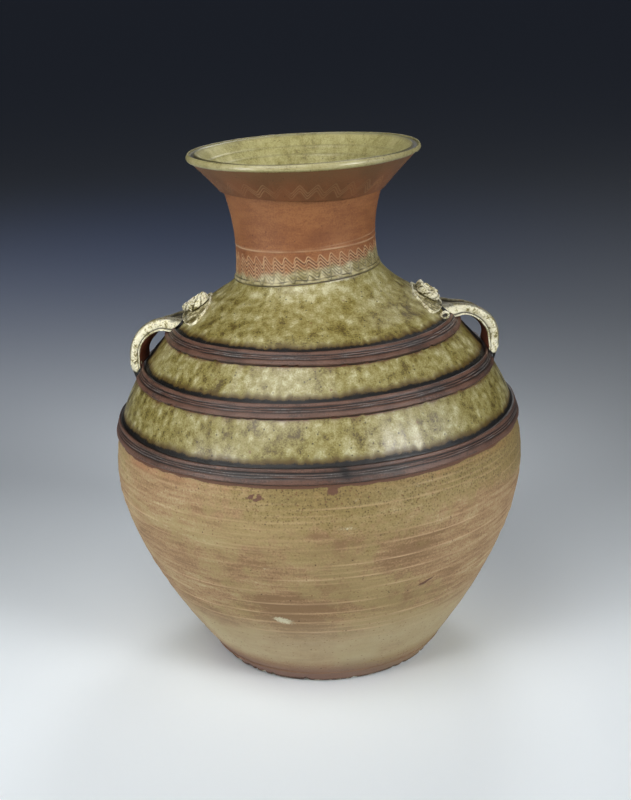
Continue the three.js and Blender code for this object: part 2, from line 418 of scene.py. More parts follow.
def settle(made: bpy.types.Object, node: str, slot: Slot, finish: bpy.types.Material) -> None:
    """Dresses a piece and sets it in the place of its solid.

    Args:
        made: The piece.
        node: The solid that it stands for.
        slot: The record's finish.
        finish: The material.
    """
    made.data.materials.append(finish)
    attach(made, BODY)
    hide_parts(node)
    LOG.info("%s: %d faces for %s, in %s", made.name, len(made.data.polygons), node, slot.value)


class Turning:
    """A closed profile turned round the jar's axis, with the relief and marks that it carries."""

    def __init__(self, outer: np.ndarray, inner: np.ndarray, columns: int, ring: bool = True) -> None:
        """Lays the profile out.

        Args:
            outer: Radius and height of the outer face, upwards.
            inner: The same for the rest, back to the start.
            columns: Points in one turn.
            ring: Whether the profile closes on itself, or starts and ends near the axis.
        """
        profile = np.vstack([outer, inner])
        self.ring = ring
        self.angle = np.linspace(0, 2 * math.pi, columns, endpoint=False)[None, :]
        self.front = (self.angle + 1.5 * math.pi) % (2 * math.pi) - math.pi
        self.radius, self.height = profile[:, :1], profile[:, 1:]
        self.outside = (np.arange(len(profile)) < len(outer)).astype(float)[:, None]
        aim = np.roll(profile, -1, axis=0) - np.roll(profile, 1, axis=0)
        if not ring:
            aim[0], aim[-1] = profile[1] - profile[0], profile[-1] - profile[-2]
        aim /= np.maximum(np.linalg.norm(aim, axis=1, keepdims=True), TINY)
        self.normal = np.stack([aim[:, 1:], -aim[:, :1]])
        self.lift = np.zeros((len(profile), columns))
        self.drop = np.zeros((len(profile), columns))
        self.aside = np.zeros((len(profile), columns))
        self.marks: dict[str, np.ndarray] = {}

    def settle(self, neck: SoftNeck) -> None:
        """Lets the skin follow the soft neck."""
        self.aside = self.aside + neck.aside(self.height)
        self.drop = self.drop + neck.dip(self.front, self.height)

    def mark(self, name: str, amount: np.ndarray | float) -> None:
        """Keeps a number at each point for the finish."""
        self.marks[name] = np.clip(np.broadcast_to(amount, self.lift.shape), 0, 1)

    def spot(self, patch: Spot) -> np.ndarray:
        """Strength of a soft patch at each point."""
        turn = (self.front - math.radians(patch.front) + math.pi) % (2 * math.pi) - math.pi
        across = turn * self.radius
        climbed = self.height - patch.height - patch.tilt * across
        return patch.share * (swell(across, patch.wide) * swell(climbed, patch.tall))

    def spots(self, patches: Sequence[Spot]) -> np.ndarray:
        """Strength of the strongest of these patches at each point."""
        return np.max([self.spot(patch) for patch in patches], axis=0)

    def sheet(self) -> Sheet:
        """The turned skin."""
        radius = self.radius + self.normal[0] * self.lift
        height = self.height + self.normal[1] * self.lift - self.drop
        x, y = radius * np.cos(self.angle) + self.aside, radius * np.sin(self.angle)
        places = np.stack([x, y, height], axis=-1)
        return Sheet(places, self.marks, rows_close=self.ring, capped=not self.ring)


class Channel:
    """One number, vector or colour of a finish, which takes part in Python expressions."""

    def __init__(self, recipe: "Recipe", socket: bpy.types.NodeSocket) -> None:
        """Wraps an output socket of the recipe's nodes."""
        self.recipe = recipe
        self.socket = socket

    def _maths(self, operation: str, *terms: "Channel | float") -> "Channel":
        """The result of a Math node on these terms."""
        return self.recipe.node("ShaderNodeMath", {"operation": operation}, dict(enumerate(terms)))

    def __add__(self, other: "Channel | float") -> "Channel":
        """Sum."""
        return self._maths("ADD", self, other)

    def __radd__(self, other: float) -> "Channel":
        """Sum with a plain number first."""
        return self._maths("ADD", other, self)

    def __sub__(self, other: "Channel | float") -> "Channel":
        """Difference."""
        return self._maths("SUBTRACT", self, other)

    def __rsub__(self, other: float) -> "Channel":
        """Difference from a plain number."""
        return self._maths("SUBTRACT", other, self)

    def __mul__(self, other: "Channel | float") -> "Channel":
        """Product."""
        return self._maths("MULTIPLY", self, other)

    def __rmul__(self, other: float) -> "Channel":
        """Product with a plain number first."""
        return self._maths("MULTIPLY", other, self)

    def over(self, low: float, high: float) -> "Channel":
        """Eased step.

        Args:
            low: Where it starts.
            high: Where it ends.

        Returns:
            0 below the step, 1 above it.
        """
        return self.recipe.node(
            "ShaderNodeMapRange", {"interpolation_type": "SMOOTHSTEP", "clamp": True},
            {"Value": self, "From Min": low, "From Max": high, "To Min": 0.0, "To Max": 1.0})


class Recipe:
    """A material in the making."""

    def __init__(self, name: str) -> None:
        """Starts an empty material.

        Args:
            name: The finish's name.
        """
        self.material = bpy.data.materials.new(name)
        self.material.use_nodes = True
        self.tree = self.material.node_tree
        self.tree.nodes.clear()
        self.place = self.node("ShaderNodeTexCoord", out="Object")

    def node(self, kind: str, settings: dict[str, object] | None = None,
             sockets: "dict[str | int, object] | None" = None, out: str | int = 0) -> Channel:
        """Any node.

        Args:
            kind: The node's type.
            settings: Its own settings, set first. Stops are a ramp's places and colours.
            sockets: Values or channels for its inputs, by name or number.
            out: The output that is used, or the input where there is none.

        Returns:
            That socket.
        """
        made = self.tree.nodes.new(kind)
        for name, value in (settings or {}).items():
            if name == "stops":
                self._set_stops(made.color_ramp, value)
            else:
                setattr(made, name, value)
        for name, value in (sockets or {}).items():
            if isinstance(value, Channel):
                self.tree.links.new(value.socket, made.inputs[name])
            else:
                made.inputs[name].default_value = value
        return Channel(self, (made.outputs or made.inputs)[out])

    @staticmethod
    def _set_stops(ramp: bpy.types.ColorRamp, stops: Sequence[tuple[float, Colour]]) -> None:
        """Gives a ramp these places and colours."""
        while len(ramp.elements) < len(stops):
            ramp.elements.new(1.0)
        for element, (at, colour) in zip(ramp.elements, stops):
            element.position = at
            element.color = colour

    def unrolled(self, girth: float, climb: float) -> Channel:
        """Place on the wall with its width evened out and its height stretched.

        Args:
            girth: Radius that every point is brought to.
            climb: What heights are multiplied by. Small makes runs, large makes streaks round the jar.

        Returns:
            The place, for a texture.
        """
        level = self.vector("MULTIPLY", self.place, (1, 1, 0))
        upright = self.vector("MULTIPLY", self.place, (0, 0, climb))
        return self.vector("MULTIPLY_ADD", self.vector("NORMALIZE", level), (girth, girth, girth), upright)

    def vector(self, operation: str, *terms: Channel | tuple[float, float, float]) -> Channel:
        """The result of a Vector Math node on these terms."""
        return self.node("ShaderNodeVectorMath", {"operation": operation}, dict(enumerate(terms)))

    def noise(self, where: Channel, scale: float, detail: float = 3.0, roughness: float = 0.55,
              distortion: float = 0.0) -> Channel:
        """Cloudy pattern.

        Args:
            where: Place.
            scale: Clouds in a metre.
            detail: Finer layers.
            roughness: How strong they are.
            distortion: How far they swirl.

        Returns:
            Numbers round a half.
        """
        return self.node("ShaderNodeTexNoise", {"noise_dimensions": "3D"},
                         {"Vector": where, "Scale": scale, "Detail": detail, "Roughness": roughness,
                          "Distortion": distortion})

    def cells(self, where: Channel, scale: float) -> Channel:
        """Soft round drops, 1 at their middles."""
        near = self.node("ShaderNodeTexVoronoi", {"feature": "SMOOTH_F1"}, {"Vector": where, "Scale": scale},
                         out="Distance")
        return 1.0 - near.over(0.0, 0.75)

    def flecks(self, where: Channel, scale: float, size: float, share: float) -> Channel:
        """Scattered round spots.

        Args:
            where: Place.
            scale: Spots in a metre.
            size: Their radius, as a share of their spacing.
            share: How many of them there are, up to 1.

        Returns:
            1 in a spot, 0 outside.
        """
        cells = {"Vector": where, "Scale": scale}
        near = self.node("ShaderNodeTexVoronoi", {"feature": "F1"}, cells, out="Distance")
        chance = self.node("ShaderNodeTexVoronoi", {"feature": "F1"}, cells, out="Color")
        lot = self.node("ShaderNodeSeparateColor", {}, {"Color": chance}, out="Red")
        return (size - near).over(0.0, size * 0.6) * lot.over(1 - share - 0.02, 1 - share + 0.02)

    def mark(self, name: str) -> Channel:
        """Number that the mesh keeps at each point."""
        return self.node("ShaderNodeAttribute", {"attribute_name": name}, out="Fac")

    def mix(self, share: Channel | float, first: Channel | Colour, second: Channel | Colour) -> Channel:
        """Colour between two.

        Args:
            share: 0 for the first, 1 for the second.
            first: Colour below.
            second: Colour laid over it.

        Returns:
            The mixed colour.
        """
        return self.node("ShaderNodeMix", {"data_type": "RGBA", "clamp_factor": True},
                         {0: share, 6: first, 7: second}, out=2)

    def lay(self, below: Channel, share: Channel | float, code: str) -> Channel:
        """A colour with a shade laid over it, by a share from 0 to 1."""
        return self.mix(share, below, tone(code))

    def ramp(self, share: Channel, stops: Sequence[tuple[float, str]]) -> Channel:
        """Colour read from a row of shades.

        Args:
            share: Where to read.
            stops: Place and shade of each.

        Returns:
            The colour.
        """
        shades = [(at, tone(code)) for at, code in stops]
        return self.node("ShaderNodeValToRGB", {"stops": shades}, {"Fac": share})

    def finish(self, colour: Channel, roughness: Channel, height: Channel, depth: float,
               **shine: Channel | float) -> bpy.types.Material:
        """Closes the recipe with one fired surface.

        Args:
            colour: Base colour.
            roughness: Roughness.
            height: Fine relief from 0 to 1.
            depth: Depth of that relief.
            shine: Other sockets, with spaces as underscores.

        Returns:
            The finished material.
        """
        bump = self.node("ShaderNodeBump", {}, {"Strength": 1.0, "Distance": depth, "Height": height})
        even = {name.replace("_", " "): value for name, value in shine.items()}
        surface = self.node("ShaderNodeBsdfPrincipled", {}, {
            "Base Color": colour, "Roughness": roughness, "Normal": bump, **even})
        self.node("ShaderNodeOutputMaterial", {}, {"Surface": surface}, out="Surface")
        return self.material


@dataclass(frozen=True)
class AshGlaze:
    """Olive ash glaze: granular and speckled, fingered below the bands and pooled black above them.

    Here and in the other finishes, shades are codes, counts such as blotches are in a metre, and depth is
    that of the fine relief.
    """

    deep: str = "524418"
    olive: str = "80753a"
    straw: str = "978f5d"
    cream: str = "bcb790"
    amber: str = "4a360f"
    pool: str = "0a0907"
    stain: str = "5b3524"
    fleck: str = "2a1e0e"
    rust: str = "6b4322"
    clay: str = "7a5539"
    clay_dark: str = "5c3d29"
    blotches: float = 55.0
    mottles: float = 185.0
    drops: float = 150.0
    runs: float = 300.0
    grains: float = 950.0
    flecks: float = 300.0
    rusts: float = 95.0
    depth: float = 0.0007
    gloss: float = 0.72
    pool_gloss: float = 0.08
    gloss_roughness: float = 0.27

    def material(self) -> bpy.types.Material:
        """The glaze as a material."""
        r = Recipe("ash_glaze")
        blotch = r.noise(r.place, self.blotches, 3, 0.5)
        mottle = r.noise(r.place, self.mottles, 4, 0.62, 0.25)
        drops = r.cells(r.place, self.drops)
        finger = r.noise(r.unrolled(0.11, 0.16), self.runs, 3, 0.5)
        grain = r.noise(r.place, self.grains, 3, 0.7)
        # The thick mark lightens the glaze: thicker glaze along the runs, and a painted highlight at the
        # front under the neck.
        body = blotch * 0.22 + mottle * 0.36 + drops * 0.1 + grain * 0.32 + (r.mark("thick") - 0.4) * 0.13
        body = body + (finger - 0.5) * (r.mark("fringe") * 0.24 + 0.04)
        stops = [(0.39, self.deep), (0.465, self.olive), (0.545, self.straw), (0.64, self.cream)]
        colour = r.ramp(body, stops)
        fleck = r.flecks(r.place, self.flecks, 0.24, 0.34)
        colour = r.lay(colour, fleck * 0.7, self.fleck)
        colour = r.lay(colour, r.flecks(r.place, self.rusts, 0.12, 0.2) * 0.6, self.rust)
        stain = r.mark("stain") * (mottle * 2.0 - 0.2).over(0.4, 0.9)
        colour = r.lay(colour, stain, self.stain)
        # The pool mark is pooled glaze above the bands, and under the handle loops also painted shadow.
        pool = r.mark("pool") + ((mottle - 0.5) * 0.3 + (grain - 0.5) * 0.34) * r.mark("pool").over(0.0, 0.3)
        colour = r.lay(colour, pool.over(0.05, 0.66) * 0.92, self.amber)
        black = pool.over(0.58, 0.78)
        colour = r.lay(colour, black, self.pool)
        bare = r.mix(mottle.over(0.4, 0.6), tone(self.clay), tone(self.clay_dark))
        colour = r.mix(r.mark("inside"), colour, bare)
        roughness = 0.38 + grain * 0.2 + r.mark("inside") * 0.4
        height = mottle * 0.45 + grain * 0.35 + drops * 0.2 - fleck * 0.4
        gloss = self.gloss - pool.over(0.1, 0.7) * (self.gloss - self.pool_gloss)
        return r.finish(colour, roughness, height, self.depth, IOR=1.45, Coat_Weight=gloss,
                        Coat_Roughness=self.gloss_roughness)


@dataclass(frozen=True)
class IronSlip:
    """Iron-brown slip on ridged bands, black in the grooves, with painted grey sheen on thin ridges."""

    groove: str = "120d0a"
    body: str = "33241c"
    red: str = "553b2f"
    crest: str = "664a3c"
    # ash is the grey of the painted sheen on the thin ridges.
    ash: str = "6f6f6d"
    streaks: float = 900.0
    clouds: float = 30.0
    grains: float = 700.0
    depth: float = 0.0005

    def material(self) -> bpy.types.Material:
        """The slip as a material."""
        r = Recipe("iron_slip")
        streak = r.noise(r.unrolled(0.01, 1.0), self.streaks, 4, 0.6)
        cloud = r.noise(r.unrolled(0.12, 0.6), self.clouds, 3, 0.55)
        grain = r.noise(r.place, self.grains, 3, 0.7)
        ridge = r.mark("ridge") * 0.8 + (streak - 0.5) * 0.5 + (grain - 0.5) * 0.8 + 0.1
        colour = r.ramp(ridge, [(0.1, self.groove), (0.34, self.body), (0.66, self.red), (0.98, self.crest)])
        # Painted grey sheen along the thin ridges, broken by streaks and clouds.
        grey = (r.mark("grey") * 0.75 + (streak - 0.5) * 1.8 + (cloud - 0.5) * 1.4).over(0.35, 0.9)
        colour = r.lay(colour, grey * 0.7, self.ash)
        burnt = (cloud + (grain - 0.5) * 0.9 + (streak - 0.5) * 0.6).over(0.5, 0.66)
        colour = r.lay(colour, burnt * 0.55, self.groove)
        colour = r.lay(colour, r.mark("pool"), self.groove)
        roughness = 0.34 + grain * 0.2 + streak * 0.06
        return r.finish(colour, roughness, streak * 0.5 + grain * 0.5, self.depth, IOR=1.5)


@dataclass(frozen=True)
class BareClay:
    """Toasted stoneware clay with pale throwing lines, ash dust under the glaze and a purple foot."""

    brown: str = "816545"
    salmon: str = "997b58"
    tan: str = "a58e68"
    pale: str = "b8a880"
    line: str = "c8a983"
    blush: str = "a8704f"
    olive: str = "99895a"
    bloom: str = "ab9d7c"
    ash: str = "857442"
    ash_dark: str = "513e20"
    foot: str = "775b51"
    slip: str = "5f3e30"
    freckle: str = "6d4c2f"
    chalk: str = "c9c4a6"
    # speck is also the colour of the painted shadow along the foot's bottom edge.
    speck: str = "3a281b"
    inside: str = "806045"
    streaks: float = 330.0
    clouds: float = 40.0
    washes: float = 14.0
    patches: float = 120.0
    grains: float = 700.0
    speckles: float = 800.0
    dusts: float = 520.0
    freckles: float = 330.0
    specks: float = 170.0
    depth: float = 0.0006

    def material(self) -> bpy.types.Material:
        """The clay as a material."""
        r = Recipe("bare_clay")
        streak = r.noise(r.unrolled(0.016, 1.0), self.streaks, 5, 0.62)
        cloud = r.noise(r.unrolled(0.07, 1.0), self.clouds, 4, 0.55)
        wash = r.noise(r.unrolled(0.1, 1.0), self.washes, 3, 0.5)
        grain = r.noise(r.place, self.grains, 3, 0.7)
        speckle = r.noise(r.place, self.speckles, 3, 0.7)
        toast = cloud * 0.34 + streak * 0.36 + grain * 0.3 - r.mark("toast") * 0.1
        stops = [(0.4, self.brown), (0.47, self.salmon), (0.535, self.tan), (0.6, self.pale)]
        colour = r.ramp(toast, stops)
        patch = r.noise(r.place, self.patches, 4, 0.65) - 0.5
        olive = (wash + (cloud - 0.5) * 0.5 + patch * 0.5).over(0.46, 0.66)
        colour = r.lay(colour, olive * 0.6, self.olive)
        colour = r.lay(colour, r.mark("bloom") * (0.15 + cloud), self.bloom)
        colour = r.lay(colour, r.mark("blush") * 0.8, self.blush)
        ash = r.mark("ash") + ((cloud - 0.5) * 0.8 + patch * 1.0) * r.mark("ash").over(0.0, 0.25)
        thin = (ash * 0.9 + (speckle - 0.5) * 0.8).over(0.1, 0.75)
        colour = r.lay(colour, thin * 0.8, self.ash)
        thick = (ash * 0.42 + (speckle - 0.5) * 1.3).over(0.26, 0.52)
        colour = r.lay(colour, thick * 0.4, self.ash_dark)
        dust = r.flecks(r.place, self.dusts, 0.4, 0.85) * (ash * 1.1 + 0.05).over(0.05, 0.9)
        colour = r.lay(colour, dust * 0.75, self.ash_dark)
        colour = r.lay(colour, r.mark("throwing") * (0.38 + streak * 0.8), self.line)
        freckled = r.flecks(r.place, self.freckles, 0.27, 0.6) * (cloud * 1.2 - 0.15 + r.mark("ash") * 0.4)
        colour = r.lay(colour, freckled, self.freckle)
        foot = (r.mark("foot") + (cloud - 0.5) * 0.5 + (streak - 0.5) * 0.4).over(0.15, 0.95)
        colour = r.lay(colour, foot * (0.7 + grain * 0.4), self.foot)
        # Painted shadow along the foot's bottom edge.
        edge = (r.mark("edge") + (speckle - 0.5) * 0.8).over(0.3, 0.9)
        colour = r.lay(colour, edge * 0.8, self.speck)
        colour = r.lay(colour, r.flecks(r.place, self.specks, 0.13, 0.3) * 0.7, self.speck)
        slip = (r.mark("slip") + (speckle - 0.5) * 0.6).over(0.38, 0.62)
        colour = r.lay(colour, slip * 0.92, self.slip)
        chalk = (r.mark("chalk") + (speckle - 0.5) * 1.2).over(0.4, 0.85)
        colour = r.lay(colour, chalk * 0.85, self.chalk)
        colour = r.lay(colour, r.mark("inside"), self.inside)
        roughness = 0.7 - r.mark("ash") * 0.2 + grain * 0.16
        height = streak * 0.5 + grain * 0.35 + speckle * 0.15
        return r.finish(colour, roughness, height, self.depth, IOR=1.45)


@dataclass(frozen=True)
class NeckClay:
    """Orange-brown clay of the neck, combed, with ash glaze creeping up from the shoulder."""

    orange: str = "946138"
    brown: str = "84522d"
    red: str = "734324"
    # Painted highlight on the comb's burrs and painted shadow in the grooves under them.
    comb: str = "c6a279"
    cut: str = "43220f"
    line: str = "b1916f"
    glaze: str = "8c8457"
    pale: str = "b8b18a"
    dark: str = "1c190d"
    speck: str = "452818"
    inside: str = "6f6738"
    inside_dark: str = "4f4524"
    clouds: float = 24.0
    streaks: float = 320.0
    grains: float = 850.0
    patches: float = 210.0
    specks: float = 330.0
    depth: float = 0.0004

    def material(self) -> bpy.types.Material:
        """The neck's clay as a material."""
        r = Recipe("neck_clay")
        cloud = r.noise(r.place, self.clouds, 4, 0.55)
        streak = r.noise(r.unrolled(0.012, 1.0), self.streaks, 4, 0.6)
        grain = r.noise(r.place, self.grains, 3, 0.65)
        patch = r.noise(r.place, self.patches, 3, 0.6)
        colour = r.ramp(cloud * 0.4 + streak * 0.25 + grain * 0.35,
                        [(0.38, self.red), (0.48, self.brown), (0.57, self.orange)])
        colour = r.lay(colour, r.flecks(r.place, self.specks, 0.2, 0.16) * 0.7, self.speck)
        colour = r.lay(colour, r.mark("smudge") * (0.3 + patch), self.red)
        # Painted shadow in the comb's grooves, then painted highlight on its burrs.
        colour = r.lay(colour, r.mark("cut") * 0.95, self.cut)
        colour = r.lay(colour, r.mark("comb") * 0.9, self.comb)
        glaze = (r.mark("glaze") + (patch - 0.5) * 0.4 + (grain - 0.5) * 0.3).over(0.12, 0.92)
        coat = r.mix((patch * 0.6 + cloud * 0.4).over(0.42, 0.6), tone(self.glaze), tone(self.pale))
        colour = r.mix(glaze * 0.9, colour, coat)
        colour = r.lay(colour, r.mark("line") * (0.7 + patch * 0.6), self.line)
        colour = r.lay(colour, r.mark("pool"), self.dark)
        throat = r.mix(cloud.over(0.4, 0.6), tone(self.inside), tone(self.inside_dark))
        colour = r.mix(r.mark("inside"), colour, throat)
        roughness = 0.5 + grain * 0.2 - glaze * 0.26
        return r.finish(colour, roughness, streak * 0.5 + grain * 0.5, self.depth, IOR=1.48)


@dataclass(frozen=True)
class MouthGlaze:
    """Mouth: brown clay under the flare, pale glaze on the lip, dark in the rim's channel, mottled inside."""

    clay: str = "7a4a28"
    shade: str = "68401f"
    grey: str = "6f5231"
    comb: str = "b08a62"
    lip: str = "9c936d"
    cream: str = "cfc892"
    straw: str = "b5ae74"
    olive: str = "979053"
    deep: str = "6a602f"
    pool: str = "1c170a"
    speck: str = "33251a"
    mottles: float = 210.0
    clouds: float = 55.0
    grains: float = 850.0
    specks: float = 300.0
    depth: float = 0.0005
    gloss: float = 0.5
    gloss_roughness: float = 0.16

    def material(self) -> bpy.types.Material:
        """The mouth as a material."""
        r = Recipe("mouth_glaze")
        mottle = r.noise(r.unrolled(0.06, 0.8), self.mottles, 4, 0.62, 0.3)
        cloud = r.noise(r.unrolled(0.06, 0.8), self.clouds, 3, 0.5)
        grain = r.noise(r.place, self.grains, 3, 0.65)
        clay = r.mix((cloud + (grain - 0.5) * 0.6).over(0.36, 0.64), tone(self.shade), tone(self.clay))
        clay = r.lay(clay, r.mark("ash") * (0.3 + mottle * 0.9), self.grey)
        clay = r.lay(clay, r.mark("comb") * 0.5, self.comb)
        body = cloud * 0.3 + mottle * 0.36 + grain * 0.34
        coat = r.ramp(body, [(0.38, self.deep), (0.46, self.olive), (0.54, self.straw), (0.64, self.cream)])
        coat = r.lay(coat, r.mark("lip") * (0.15 + mottle * 0.9 + (grain - 0.5) * 0.8), self.lip)
        pool = r.mark("pool") + (mottle - 0.5) * 0.4 * r.mark("pool").over(0, 0.3)
        coat = r.lay(coat, pool * 0.95, self.pool)
        edge = (r.mark("glaze") + (grain - 0.5) * 0.6 + (mottle - 0.5) * 0.6).over(0.4, 0.6)
        colour = r.mix(edge, clay, coat)
        colour = r.lay(colour, r.flecks(r.place, self.specks, 0.2, 0.2) * 0.6, self.speck)
        roughness = 0.58 + grain * 0.18 - edge * 0.24 + r.mark("pool") * 0.2
        return r.finish(colour, roughness, mottle * 0.5 + grain * 0.5, self.depth, IOR=1.5,
                        Coat_Weight=edge * self.gloss, Coat_Roughness=self.gloss_roughness)


@dataclass(frozen=True)
class HandleGlaze:
    """Cream glaze thick on the straps' rolls, dark and speckled on top, red-brown bare clay underneath."""

    cream: str = "e8e3c6"
    straw: str = "b4ab7c"
    olive: str = "5c5228"
    dark: str = "2f2913"
    # Colour of the painted shade in grooves and hollows.
    groove: str = "151108"
    clay: str = "86492f"
    pool: str = "0c0a07"
    speck: str = "2e2210"
    rust: str = "6a4526"
    mottles: float = 230.0
    grains: float = 900.0
    specks: float = 480.0
    rusts: float = 260.0
    depth: float = 0.0009

    def material(self) -> bpy.types.Material:
        """The handles' glaze as a material."""
        r = Recipe("handle_glaze")
        mottle = r.noise(r.place, self.mottles, 4, 0.62, 0.4)
        grain = r.noise(r.place, self.grains, 3, 0.65)
        body = mottle * 0.8 + grain * 0.45 + r.mark("roll") * 0.16
        colour = r.ramp(body, [(0.63, self.olive), (0.71, self.straw), (0.79, self.cream)])
        dark = (r.mark("top") * 0.8 + (mottle - 0.5) * 1.4).over(0.3, 0.75)
        colour = r.lay(colour, dark * 0.8, self.dark)
        freckled = r.flecks(r.place, self.specks, 0.36, 0.7) * (0.25 + r.mark("top") * 0.7)
        colour = r.lay(colour, freckled, self.speck)
        colour = r.lay(colour, r.flecks(r.place, self.rusts, 0.25, 0.4) * 0.6, self.rust)
        # The groove mark is painted shade: in the straps' grooves, the eyes' hollows, under the scroll's roll
        # and in its creases, and on the pad.
        groove = r.mark("groove") + (mottle - 0.5) * 0.4 * r.mark("groove").over(0.0, 0.2)
        colour = r.lay(colour, groove * 0.95, self.groove)
        bare = (r.mark("bare") + (mottle - 0.5) * 0.5).over(0.35, 0.65)
        colour = r.lay(colour, bare, self.clay)
        pool = (r.mark("pool") + (mottle - 0.5) * 0.6).over(0.3, 0.7)
        colour = r.lay(colour, pool, self.pool)
        roughness = 0.26 + grain * 0.22 + bare * 0.35 + r.mark("top") * 0.22
        return r.finish(colour, roughness, mottle * 0.6 + grain * 0.4, self.depth, IOR=1.45)


@dataclass
class BaseDisc:
    """Slab that the jar stands on, with a worn, chipped heel."""

    line: BodyLine
    clay: bpy.types.Material
    thickness: float = float(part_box("base_disc")[1][2])
    heel: float = 0.0025
    hollow: float = 0.0006
    rest: float = 0.93
    eye: float = 0.001
    shelf: float = 0.006
    chips: int = 40
    chip_depth: float = 0.0011
    chip_lift: float = 0.0006
    columns: int = 720

    def build(self) -> bpy.types.Object:
        """The slab as a piece."""
        edge = float(self.line.radius(self.heel)) - self.heel
        rest = edge * self.rest
        under = np.array([[self.eye, self.hollow], [edge * 0.5, self.hollow], [rest, 0.0]])
        heel = bezier((rest, 0), (edge + 0.002, 0), (float(self.line.radius(self.heel)), self.heel))
        side = self.line.between(self.heel, self.thickness, 0.0008)
        outer = np.vstack([evened(under, 0.006)[:-1], evened(heel, 0.0004)[:-1], side])
        top = np.array([[outer[-1, 0] - self.shelf, self.thickness], [self.eye, self.thickness]])
        shelf = np.vstack([outer[-1:] - [0.0001, 0], evened(top, 0.008)])
        disc = Turning(outer, shelf, self.columns, ring=False)
        wall = smooth(0.0, 0.004, disc.height) * disc.outside
        bites = self._bites(disc) * smooth(0.0065, 0.0015, disc.height) * smooth(0.06, 0.068, disc.radius)
        disc.lift += self.line.uneven(disc.angle, disc.height) * wall - self.chip_depth * bites
        disc.drop -= self.chip_lift * bites * (disc.height < MM)
        sway = 0.0005 * Wander(42, 24, 1.0, least=3).at(disc.angle, 0.0)
        rim = swell(disc.height - 0.0011 - sway, 0.00065) * smooth(0.066, 0.07, disc.radius)
        worn = 0.45 + 0.75 * Wander(41, 90, 0.01, least=10).at(disc.angle, 0.0)
        disc.mark("chalk", np.clip(0.5 * bites * (disc.height < 0.0022) + rim * np.clip(worn, 0, 1), 0, 1))
        disc.mark("foot", self.stained(disc.front))
        # Painted shadow along the bottom of the foot, beside the floor.
        disc.mark("edge", smooth(0.0042, 0.0012, disc.height + sway) * disc.outside)
        for empty in ("ash", "throwing", "blush", "bloom"):
            disc.mark(empty, 0.0)
        disc.mark("slip", 0.75 * smooth(0.0004, 0.0, disc.height))
        disc.mark("inside", 1 - disc.outside)
        made = piece("thrown_base_disc", [disc.sheet()])
        settle(made, "base_disc", Slot.BARE_CLAY, self.clay)
        return made

    @staticmethod
    def stained(front: np.ndarray) -> np.ndarray:
        """How dark the foot was stained in the kiln, most on the left."""
        return 0.58 + 0.42 * np.cos(front + 0.9)

    def _bites(self, disc: Turning) -> np.ndarray:
        """Chips round the heel, 0 to 1 at each angle."""
        dice = np.random.default_rng(17)
        bites = np.zeros_like(disc.angle)
        for _ in range(self.chips):
            off = (disc.angle - dice.uniform(0, 2 * math.pi) + math.pi) % (2 * math.pi) - math.pi
            bites = np.maximum(bites, dice.uniform(0.35, 1.0) * swell(off, dice.uniform(0.008, 0.035)))
        return bites


